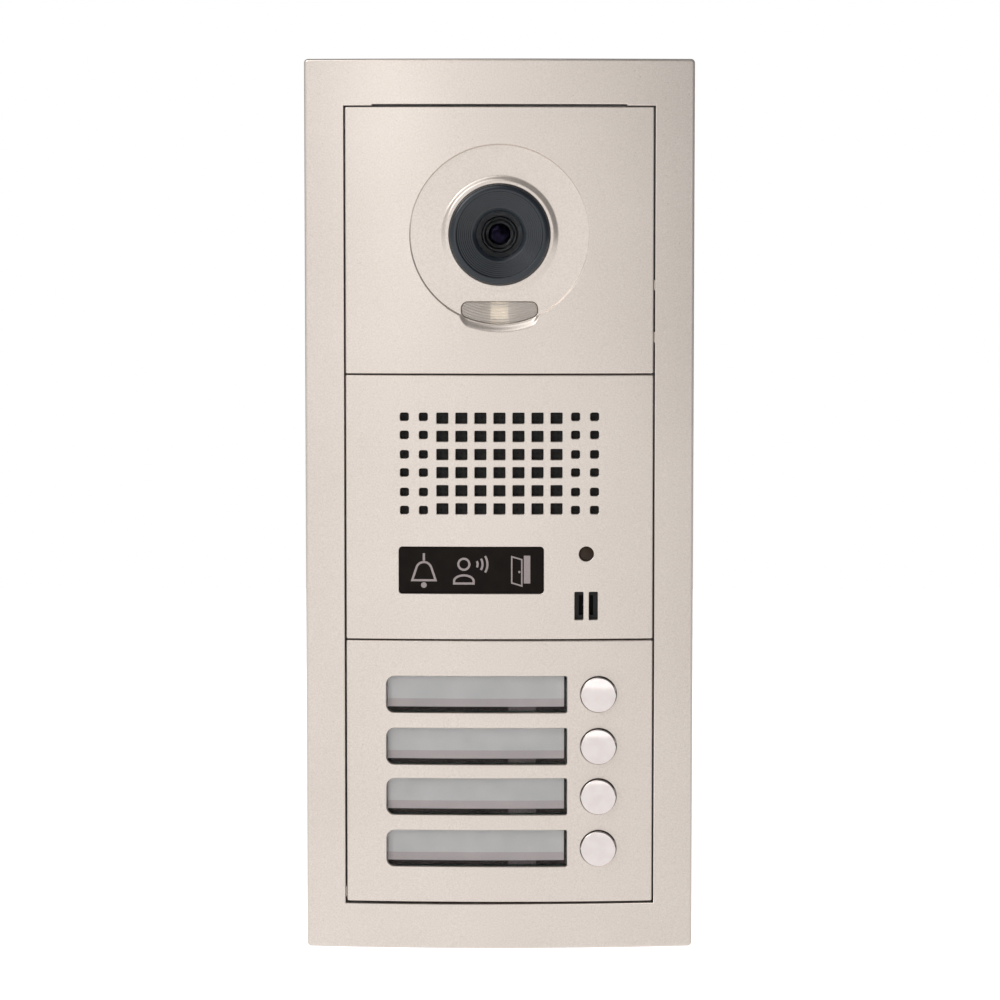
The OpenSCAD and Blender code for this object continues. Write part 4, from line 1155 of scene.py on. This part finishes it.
lamp_surface = Surface()
lamp_edge = edge(lambda grow=0.0: lamp_outline(grow - 0.15 * MM), 0.4 * MM)
add_plate(lamp_surface, [lamp_edge], lamp_face, LAMP_THICK, rib_points(), rear=lamp_rear)
build("lamp_prism", lamp_surface, [lamp_polycarbonate], replaces=["lamp_window"], slot="lamp_plastic")

# %% [markdown]
# ## The status window and its signs
#
# The window is smoked, so that the three signs only stand out when they are lit from behind. The signs are
# plain ones: a bell, a talking person and an open door. Each is a thin layer of print on the window, made
# from outlines with the same plate builder.

# %% Status window and signs
WINDOW_DEPTH = 0.35 * MM
PRINT_THICK = 0.03 * MM
LINE = 0.75 * MM


def window_face(x, z):
    return crowned(x, z) + WINDOW_DEPTH


def sign_face(x, z):
    return window_face(x, z) - PRINT_THICK


status_surface = Surface()
STATUS_GAP = 0.3 * MM
status_size = (STATUS_W - STATUS_GAP, STATUS_H - STATUS_GAP)
status_rim = divided(round_rect((STATUS_X, STATUS_Z), status_size, [1.05 * MM] * 4))
status_free = grid((STATUS_X, STATUS_Z), (STATUS_W, STATUS_H), 4 * MM)
add_plate(status_surface, [edge(status_rim, 0.3 * MM)], window_face, 2.1 * MM, status_free)
build("status_pane", status_surface, [smoked_acrylic], replaces=["status_window"], slot="status_acrylic")

signs = Surface()


def print_shape(*outlines):
    """Prints one closed shape, whose further outlines are its holes."""
    add_plate(signs, [edge(o, 0.008 * MM) for o in outlines], sign_face, PRINT_THICK, np.zeros((0, 2)))


def set_back(outline, amount):
    return lambda grow=0.0: outline(grow - amount)


def shape(points, place):
    """A polygon in millimetres about a place."""
    return cornered([(place[0] + x * MM, place[1] + z * MM) for x, z in points])


def bell_sign(place):
    turns = np.linspace(0.35, 2.79, 13)
    shoulder = [(3.1 * math.cos(t), 0.4 + 3.1 * math.sin(t)) for t in turns]
    body = shape([(-4.6, -3.6), (4.6, -3.6)] + shoulder, place)
    print_shape(body, set_back(body, LINE))
    print_shape(shape([(-0.4, 3.6), (0.4, 3.6), (0.4, 6.2), (-0.4, 6.2)], place))
    print_shape(disc((place[0], place[1] - 4.9 * MM), 1.0 * MM, 24))


def talking_sign(place):
    mouth = (place[0] - 0.4 * MM, place[1] + 2.1 * MM)
    head = disc((place[0] - 3.2 * MM, mouth[1]), 2.3 * MM, 40)
    print_shape(head, set_back(head, LINE))
    turns = np.linspace(0.15, math.pi - 0.15, 15)
    rounded = [(3.8 * math.cos(t) - 3.2, 2.4 * math.sin(t) - 3.8) for t in turns]
    shoulders = shape([(-7.0, -5.0), (0.6, -5.0)] + rounded, place)
    print_shape(shoulders, set_back(shoulders, LINE))
    for radius in (2.0 * MM, 3.7 * MM, 5.4 * MM):
        outer = arc(mouth, radius + LINE / 2, -32, 32, 13)
        inner = arc(mouth, radius - LINE / 2, 32, -32, 13)
        print_shape(cornered(np.vstack([outer, inner])))


def door_sign(place):
    leaf = shape([(-3.3, -4.6), (0.7, -5.8), (0.7, 3.9), (-3.3, 5.1)], place)
    print_shape(leaf, set_back(leaf, 0.5 * MM))
    print_shape(shape([(1.15, -4.6), (3.4, -4.6), (3.4, 5.1), (1.15, 5.1)], place))
    print_shape(disc((place[0] - 0.4 * MM, place[1] - 0.6 * MM), 0.4 * MM, 16))


bell_sign((STATUS_X - 16.5 * MM, STATUS_Z - 0.3 * MM))
talking_sign((STATUS_X + 0.6 * MM, STATUS_Z))
door_sign((STATUS_X + 17.1 * MM, STATUS_Z))
build("status_signs", signs, [print_grey], slot="status_acrylic")

# %% [markdown]
# ## The in-use lens
#
# A light pipe of smoked acrylic with a slightly domed end, which turns the light to all sides.

# %% In-use lens
PIPE_R = IN_USE_R - 0.1 * MM
PIPE_FACE = float(crowned(IN_USE_X, 0)) + 0.35 * MM
pipe_profile = dome(PIPE_R, PIPE_FACE + 0.45 * MM, 0.45 * MM) + [
    (PIPE_R, PIPE_FACE + 3 * MM),
    (PIPE_R + 0.9 * MM, PIPE_FACE + 3 * MM),
    (PIPE_R + 0.9 * MM, IN_USE_HIGH.y),
    (0, IN_USE_HIGH.y),
]
turned_piece(
    "in_use_pipe", pipe_profile, (IN_USE_X, IN_USE_Z), smoked_lens,
    replaces=["in_use_lens"], slot="smoked_plastic",
)

# %% [markdown]
# ## Name windows and cards
#
# Each name window is a clear pane, and a card is clipped behind it. A card is white with a pinkish lower
# third, and it carries no writing. Its dark bottom band, the darker tab in that band and its dark right edge
# are painted shade and reflection of the dark gap between the pane and its recess. The card is a grid of
# cells, and each cell takes the finish of its zone.

# %% Name windows and cards
CARD_INSET = FACE_SKIN + 1 * MM
CARD_THICK = 0.3 * MM
NAME_INSET = 0.9 * MM
CARD_HALF_W = (CARD_HIGH.x - CARD_LOW.x) / 2
CARD_HALF_H = NAME_H / 2 - 0.5 * MM
# Painted shade: the card's bottom band, up to the first of these heights, and its right strip are drawn as
# dark as the gap under the pane looks; the tab in that band is a lighter patch of the same painted shade.
GAP_SHADE_TOP, THIRD_TOP = -4.55 * MM, -1.7 * MM
TAB_FROM, TAB_TO = 11 * MM, 20.7 * MM
RIGHT_STRIP = 0.6 * MM


def printed_card(name, tone, light_tone):
    """Coated card stock: fibres show as a faint mottling."""
    material, shader = finish(name)
    fibres = grain(material, 0.35 * MM, detail=4)
    set_on(
        material, shader,
        colours=(fibres.outputs[0], [(0.3, tone), (0.7, light_tone)]),
        rough=(fibres.outputs[0], 0.55, 0.7),
        bump=(fibres.outputs[0], 0.01 * MM, 0.4),
    )
    return material


# The third and fourth finishes are painted shade of the gap under the pane, the fourth for the tab seen in
# it; the second is a pinkish tone of the card.
STOCK, PINK_THIRD, GAP_SHADE, TAB_IN_SHADE = range(4)
card_finishes = [
    printed_card("name_card_stock", "#f3eeed", "#faf6f5"),
    printed_card("name_card_pinkish_third", "#e4d6d6", "#ecdfdf"),
    printed_card("name_card_painted_gap_shade", "#261a16", "#33251f"),
    printed_card("name_card_tab_in_painted_shade", "#6a5f5d", "#756967"),
]


# The bottom row and the right strip get the painted gap shade, and the tab gets a lighter painted shade.
def card_zone(row, from_x, to_x):
    if to_x > CARD_HALF_W - RIGHT_STRIP / 2:
        return GAP_SHADE
    if row == 0:
        return TAB_IN_SHADE if from_x > TAB_FROM - MM / 10 and to_x < TAB_TO + MM / 10 else GAP_SHADE
    return PINK_THIRD if row == 1 else STOCK


def add_card(surface, z):
    runs = [(-CARD_HALF_W, TAB_FROM, 14), (TAB_FROM, TAB_TO, 4), (TAB_TO, CARD_HALF_W - RIGHT_STRIP, 4)]
    columns = [x for start, end, count in runs for x in np.linspace(start, end, count + 1)[:-1]]
    columns += [CARD_HALF_W - RIGHT_STRIP, CARD_HALF_W]
    rows = [-CARD_HALF_H, GAP_SHADE_TOP, THIRD_TOP, CARD_HALF_H]
    sheets = []
    for back in (0, CARD_THICK):
        depth = [float(crowned(NAME_X + x, 0)) + CARD_INSET + back for x in columns]
        points = [(NAME_X + x, y, z + r) for r in rows for x, y in zip(columns, depth)]
        sheets.append(surface.ring(points).reshape(len(rows), len(columns)))
    front, back = sheets
    for c in range(len(columns) - 1):
        for r in range(len(rows) - 1):
            zone = card_zone(r, columns[c], columns[c + 1])
            shown = [front[r, c], front[r, c + 1], front[r + 1, c + 1], front[r + 1, c]]
            hidden = [back[r, c], back[r + 1, c], back[r + 1, c + 1], back[r, c + 1]]
            surface.face(shown, [(0, -1, 0)] * 4, zone)
            surface.face(hidden, [(0, 1, 0)] * 4, STOCK)
        # The card's bottom and right edges are also drawn in the painted gap shade.
        surface.face([front[0, c + 1], front[0, c], back[0, c], back[0, c + 1]], [(0, 0, -1)] * 4, GAP_SHADE)
        surface.face([front[-1, c], front[-1, c + 1], back[-1, c + 1], back[-1, c]], [(0, 0, 1)] * 4, STOCK)
    for r in range(len(rows) - 1):
        surface.face([front[r, 0], front[r + 1, 0], back[r + 1, 0], back[r, 0]], [(-1, 0, 0)] * 4, STOCK)
        surface.face([front[r + 1, -1], front[r, -1], back[r, -1], back[r + 1, -1]], [(1, 0, 0)] * 4, GAP_SHADE)


def pane_face(x, z):
    return crowned(x, z) + NAME_INSET


pane_surface, card_surface = Surface(), Surface()
for z in ROW_ZS:
    pane_rim = divided(set_back(name_outline(z), 0.15 * MM))
    pane_free = grid((NAME_X, z), (NAME_W, NAME_H), 4 * MM)
    add_plate(pane_surface, [edge(pane_rim, 0.2 * MM)], pane_face, 2.55 * MM, pane_free)
    add_card(card_surface, z)
build("name_panes", pane_surface, [name_acrylic], replaces=["name_windows"], slot="clear_acrylic")
build("printed_cards", card_surface, card_finishes, replaces=["name_cards"], slot="name_card")

# %% [markdown]
# ## Call buttons
#
# Flat chromed caps with a small rounded edge. Each rides on its own joint, so it can be pressed.

# %% Call buttons
for name, z in zip(BUTTONS, ROW_ZS):
    low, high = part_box(name)
    flange_front = STOP_Y + 0.1 * MM
    cap = eased([
        (0, low.y),
        (CAP_R, low.y, 0.36 * MM),
        (CAP_R, flange_front),
        (CAP_HOLE_R + 1 * MM, flange_front),
        (CAP_HOLE_R + 1 * MM, flange_front + 1.2 * MM),
        (4.6 * MM, flange_front + 1.2 * MM),
        (4.6 * MM, low.y + 2.7 * MM),
        (2 * MM, low.y + 2.7 * MM),
        (2 * MM, high.y),
        (0, high.y),
    ], steps=7)
    turned_piece(
        f"chromed_cap_{name[-1]}", cap, (BUTTON_X, z), chrome,
        body=f"button_{name[-1]}", replaces=[name], slot="button_chrome",
    )

# %% [markdown]
# ## The springs behind the buttons
#
# Each cap is held forward by a coil spring whose end coils are closed, so that it stands flat. A curve with
# a bevel would draw the wire as well; here the wire's rings are placed along the coil directly. A spring
# doesn't ride on the cap: it stays where it is, and its closed coils are spaced so that the cap's full travel
# could shorten it without the wire running into itself.

# %% Coil springs
COIL_TURNS, CLOSED_TURNS, COIL_STEPS, WIRE_SIDES = 6, 1, 28, 10
WIRE_R = 0.3 * MM
PRESS_TRAVEL = 1 * MM


def coil_spring(name, number):
    low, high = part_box(name)
    reach = high.x - low.x
    middle_x, middle_z, coil_r = (low.x + high.x) / 2, (low.z + high.z) / 2, reach / 2 - WIRE_R
    front, rear = low.y + WIRE_R, high.y - WIRE_R
    kept_share = 1 - PRESS_TRAVEL / (high.y - low.y)
    closed = 2.05 * WIRE_R / kept_share
    turns = np.linspace(0, COIL_TURNS, COIL_TURNS * COIL_STEPS + 1)
    along = np.interp(turns, [0, CLOSED_TURNS, COIL_TURNS - CLOSED_TURNS, COIL_TURNS],
                      [front, front + closed, rear - closed, rear])
    surface, last = Surface(), None
    around = 2 * np.pi * np.arange(WIRE_SIDES) / WIRE_SIDES
    for turn, y in zip(2 * np.pi * turns, along):
        out = np.array([math.cos(turn), 0, math.sin(turn)])
        shade = np.cos(around)[:, None] * out + np.sin(around)[:, None] * np.array([0, 1.0, 0])
        points = surface.ring(np.array([middle_x, y, middle_z]) + coil_r * out + WIRE_R * shade)
        if last is None:
            surface.face(points[::-1], [(math.sin(turn), 0, -math.cos(turn))] * WIRE_SIDES)
        else:
            surface.strip(last[0], points, last[1], shade, inward=True)
        last = (points, shade)
    surface.face(points, [(-math.sin(turn), 0, math.cos(turn))] * WIRE_SIDES)
    spring = build(f"coil_spring_{number}", surface, [spring_wire], replaces=[name], slot="spring_steel")
    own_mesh(spring)


for number in (1, 2, 3, 4):
    coil_spring(f"button_spring_{number}", number)

# %% [markdown]
# ## Finishes for the pieces that keep their design mesh
#
# Everything behind the front keeps the mesh of the design, because only its finish is missing. The list
# gives each one the finish of its real material.

# %% Finish the carried-over pieces
FINISH_OF = {
    "back_box": polyamide_grey, "cable_grommet": rubber, "wall_gasket": foam, "carrier_frame": zinc_casting,
    "carrier_screws": zinc_plate, "frame_screws": zinc_plate, "housing_screws": zinc_plate,
    "link_cables": ribbon_grey, "camera_housing": abs_housing, "audio_housing": abs_housing,
    "call_housing": abs_housing, "cover_seal": rubber, "camera_bracket": sheet_steel,
    "pan_yoke": acetal_dark, "pan_pins": zinc_plate, "tilt_cradle": acetal_dark, "tilt_pins": zinc_plate,
    "sensor_board": board_green, "lamp_led": lamp_lit, "lamp_board": card_white,
    "camera_board": board_green, "dust_mesh": mesh_fabric, "speaker_gasket": foam,
    "speaker_frame": basket_steel, "speaker_cone": cone_paper, "speaker_magnet": nickel_plate,
    "status_leds": lamp_white, "audio_board": board_green, "mic_boot": rubber, "mic_capsule": can_aluminium,
    "terminal_block": terminal_green, "terminal_screws": zinc_plate, "trimmer_bodies": trimmer_blue,
    "volume_rotor": rotor_white, "mic_rotor": rotor_white, "card_light_guide": guide_acrylic,
    "call_board": board_green, "call_switches": switch_plastic, "button_guide": guide_plastic,
}
for name, material in FINISH_OF.items():
    kept = bpy.data.objects[name]
    kept.data.materials.clear()
    kept.data.materials.append(material)
print("finished", len(FINISH_OF), "carried-over pieces")

# %% [markdown]
# ## Floor
#
# A pale sheet of studio paper lies half a metre below the panel. It glows a little, so that the lower half of
# the bulged front, which mirrors the floor, stays as bright as the upper half. It could be a lamp instead,
# but then it would also throw light where none is wanted.

# %% Floor
FLOOR_Z = cad_low.z - 500 * MM
FLOOR_REACH = 6.0
FLOOR_GLOW = 0.62
floor_mesh = bpy.data.meshes.new("pale_floor")
floor_corners = [(x * FLOOR_REACH, y * FLOOR_REACH, FLOOR_Z) for x, y in ((-1, -1), (1, -1), (1, 1), (-1, 1))]
floor_mesh.from_pydata(floor_corners, [], [(0, 1, 2, 3)])
floor_paper, floor_shader = finish("pale_studio_paper")
floor_shader.inputs["Emission Color"].default_value = linear("#ffffff")
seen_floor = add(floor_paper, "MapRange", {
    "Value": add(floor_paper, "LightPath").outputs["Is Camera Ray"], "To Min": FLOOR_GLOW, "To Max": 1.0,
})
floor_paper.node_tree.links.new(seen_floor.outputs[0], floor_shader.inputs["Emission Strength"])
paper = grain(floor_paper, 60 * MM)
set_on(
    floor_paper, floor_shader,
    colours=(paper.outputs[0], [(0.3, "#f6f6f6"), (0.7, "#fbfbfb")]),
    rough=(paper.outputs[0], 0.8, 0.9),
)
floor_mesh.materials.append(floor_paper)
studio_floor = bpy.data.objects.new("pale_floor", floor_mesh)
bpy.context.scene.collection.objects.link(studio_floor)
print("floor", round((cad_low.z - FLOOR_Z) / MM), "mm below the panel")

# %% [markdown]
# ## Light
#
# Soft light from the upper left, as in a product picture. The world is white where the camera looks past the
# panel, and for the pieces it is a soft room: bright in front and at the upper left, darker at the upper
# right. Such a room could be built from many area lamps, but patches in the world cost less time and can't
# be seen. Only the key light and a small spot for the lens are lamps.

# %% Light
SOFT_LIGHTS = [
    # name, place, aim, width, height, watts
    ("key_softbox", (-1.3, -1.5, 1.2), (0, 0, 0.02), 0.8, 0.8, 6.0),
    ("glint", (-0.3, -1.45, LENS_Z + 0.14), (0, 0, LENS_Z), 0.05, 0.05, 0.2),
]
for name, place, aim, width, height, watts in SOFT_LIGHTS:
    lamp = bpy.data.lights.new(name, "AREA")
    lamp.shape, lamp.size, lamp.size_y, lamp.energy = "RECTANGLE", width, height, watts
    holder = bpy.data.objects.new(name, lamp)
    holder.location = place
    holder.rotation_euler = (Vector(aim) - Vector(place)).to_track_quat("-Z", "Y").to_euler()
    bpy.context.scene.collection.objects.link(holder)

world = bpy.data.worlds.new("soft_room")
bpy.context.scene.world = world
world.use_nodes = True
world.node_tree.nodes.clear()
direction = add(world, "TexCoord").outputs["Generated"]
AMBIENT = 0.16


def glow(towards, start, full, strength, below):
    """A soft bright patch of the room around one direction, added to what is there already."""
    facing = add(world, "VectorMath", {0: direction, 1: towards}, operation="DOT_PRODUCT")
    patch = add(
        world, "MapRange", {"Value": facing.outputs["Value"], "From Min": start, "From Max": full},
        interpolation_type="SMOOTHSTEP",
    )
    total = add(
        world, "Math", {0: patch.outputs[0], 1: strength, 2: below}, operation="MULTIPLY_ADD",
    )
    return total.outputs[0]


ROOM_PATCHES = [
    # direction, where it starts and is full, strength
    ((-0.05, -0.94, -0.33), 0.8, 0.985, 1.3),
    ((-0.42, -0.62, 0.66), 0.84, 0.95, 1.6),
    ((0.22, -0.72, -0.66), 0.9, 0.97, 1.4),
    ((-0.88, -0.42, -0.2), 0.6, 0.95, 0.5),
]
room = AMBIENT
for towards, start, full, strength in ROOM_PATCHES:
    room = glow(towards, start, full, strength, room)
seen = add(world, "LightPath").outputs["Is Camera Ray"]
shown = add(world, "Mix", {0: seen, 2: room, 3: 1.0})
backdrop = add(world, "Background", {"Color": (1, 1, 1, 1), "Strength": shown.outputs[0]})
add(world, "OutputWorld", {"Surface": backdrop.outputs[0]})
bpy.context.scene.view_settings.view_transform = "Standard"
print("lights:", [light[0] for light in SOFT_LIGHTS])

# %% [markdown]
# ## Camera
#
# A long lens stands 1.3 m in front of the panel and a little above its middle, so that the uprights stay
# nearly parallel and the bulge shows in the seams. It is aimed by its own direction rather than by a
# constraint, because nothing here moves.

# %% Camera
AIM = Vector((0.17 * MM, FRONT, 2.7 * MM))
EYE = Vector((0.17 * MM, FRONT - 1.3, 107 * MM))
FRAME_WIDTH = 347 * MM
view_camera = bpy.data.cameras.new("product_view")
view_camera.sensor_width = 36
view_camera.lens = 36 * (AIM - EYE).length / FRAME_WIDTH
viewer = bpy.data.objects.new("product_view", view_camera)
viewer.location = EYE
viewer.rotation_euler = (AIM - EYE).to_track_quat("-Z", "Y").to_euler()
bpy.context.scene.collection.objects.link(viewer)
bpy.context.scene.camera = viewer
print("lens", round(view_camera.lens, 1), "mm")

# %% [markdown]
#
# The design's box is printed, in millimetres.

# %% Size and finish
print("design box", [round(v / MM, 2) for v in cad_high - cad_low], "mm")
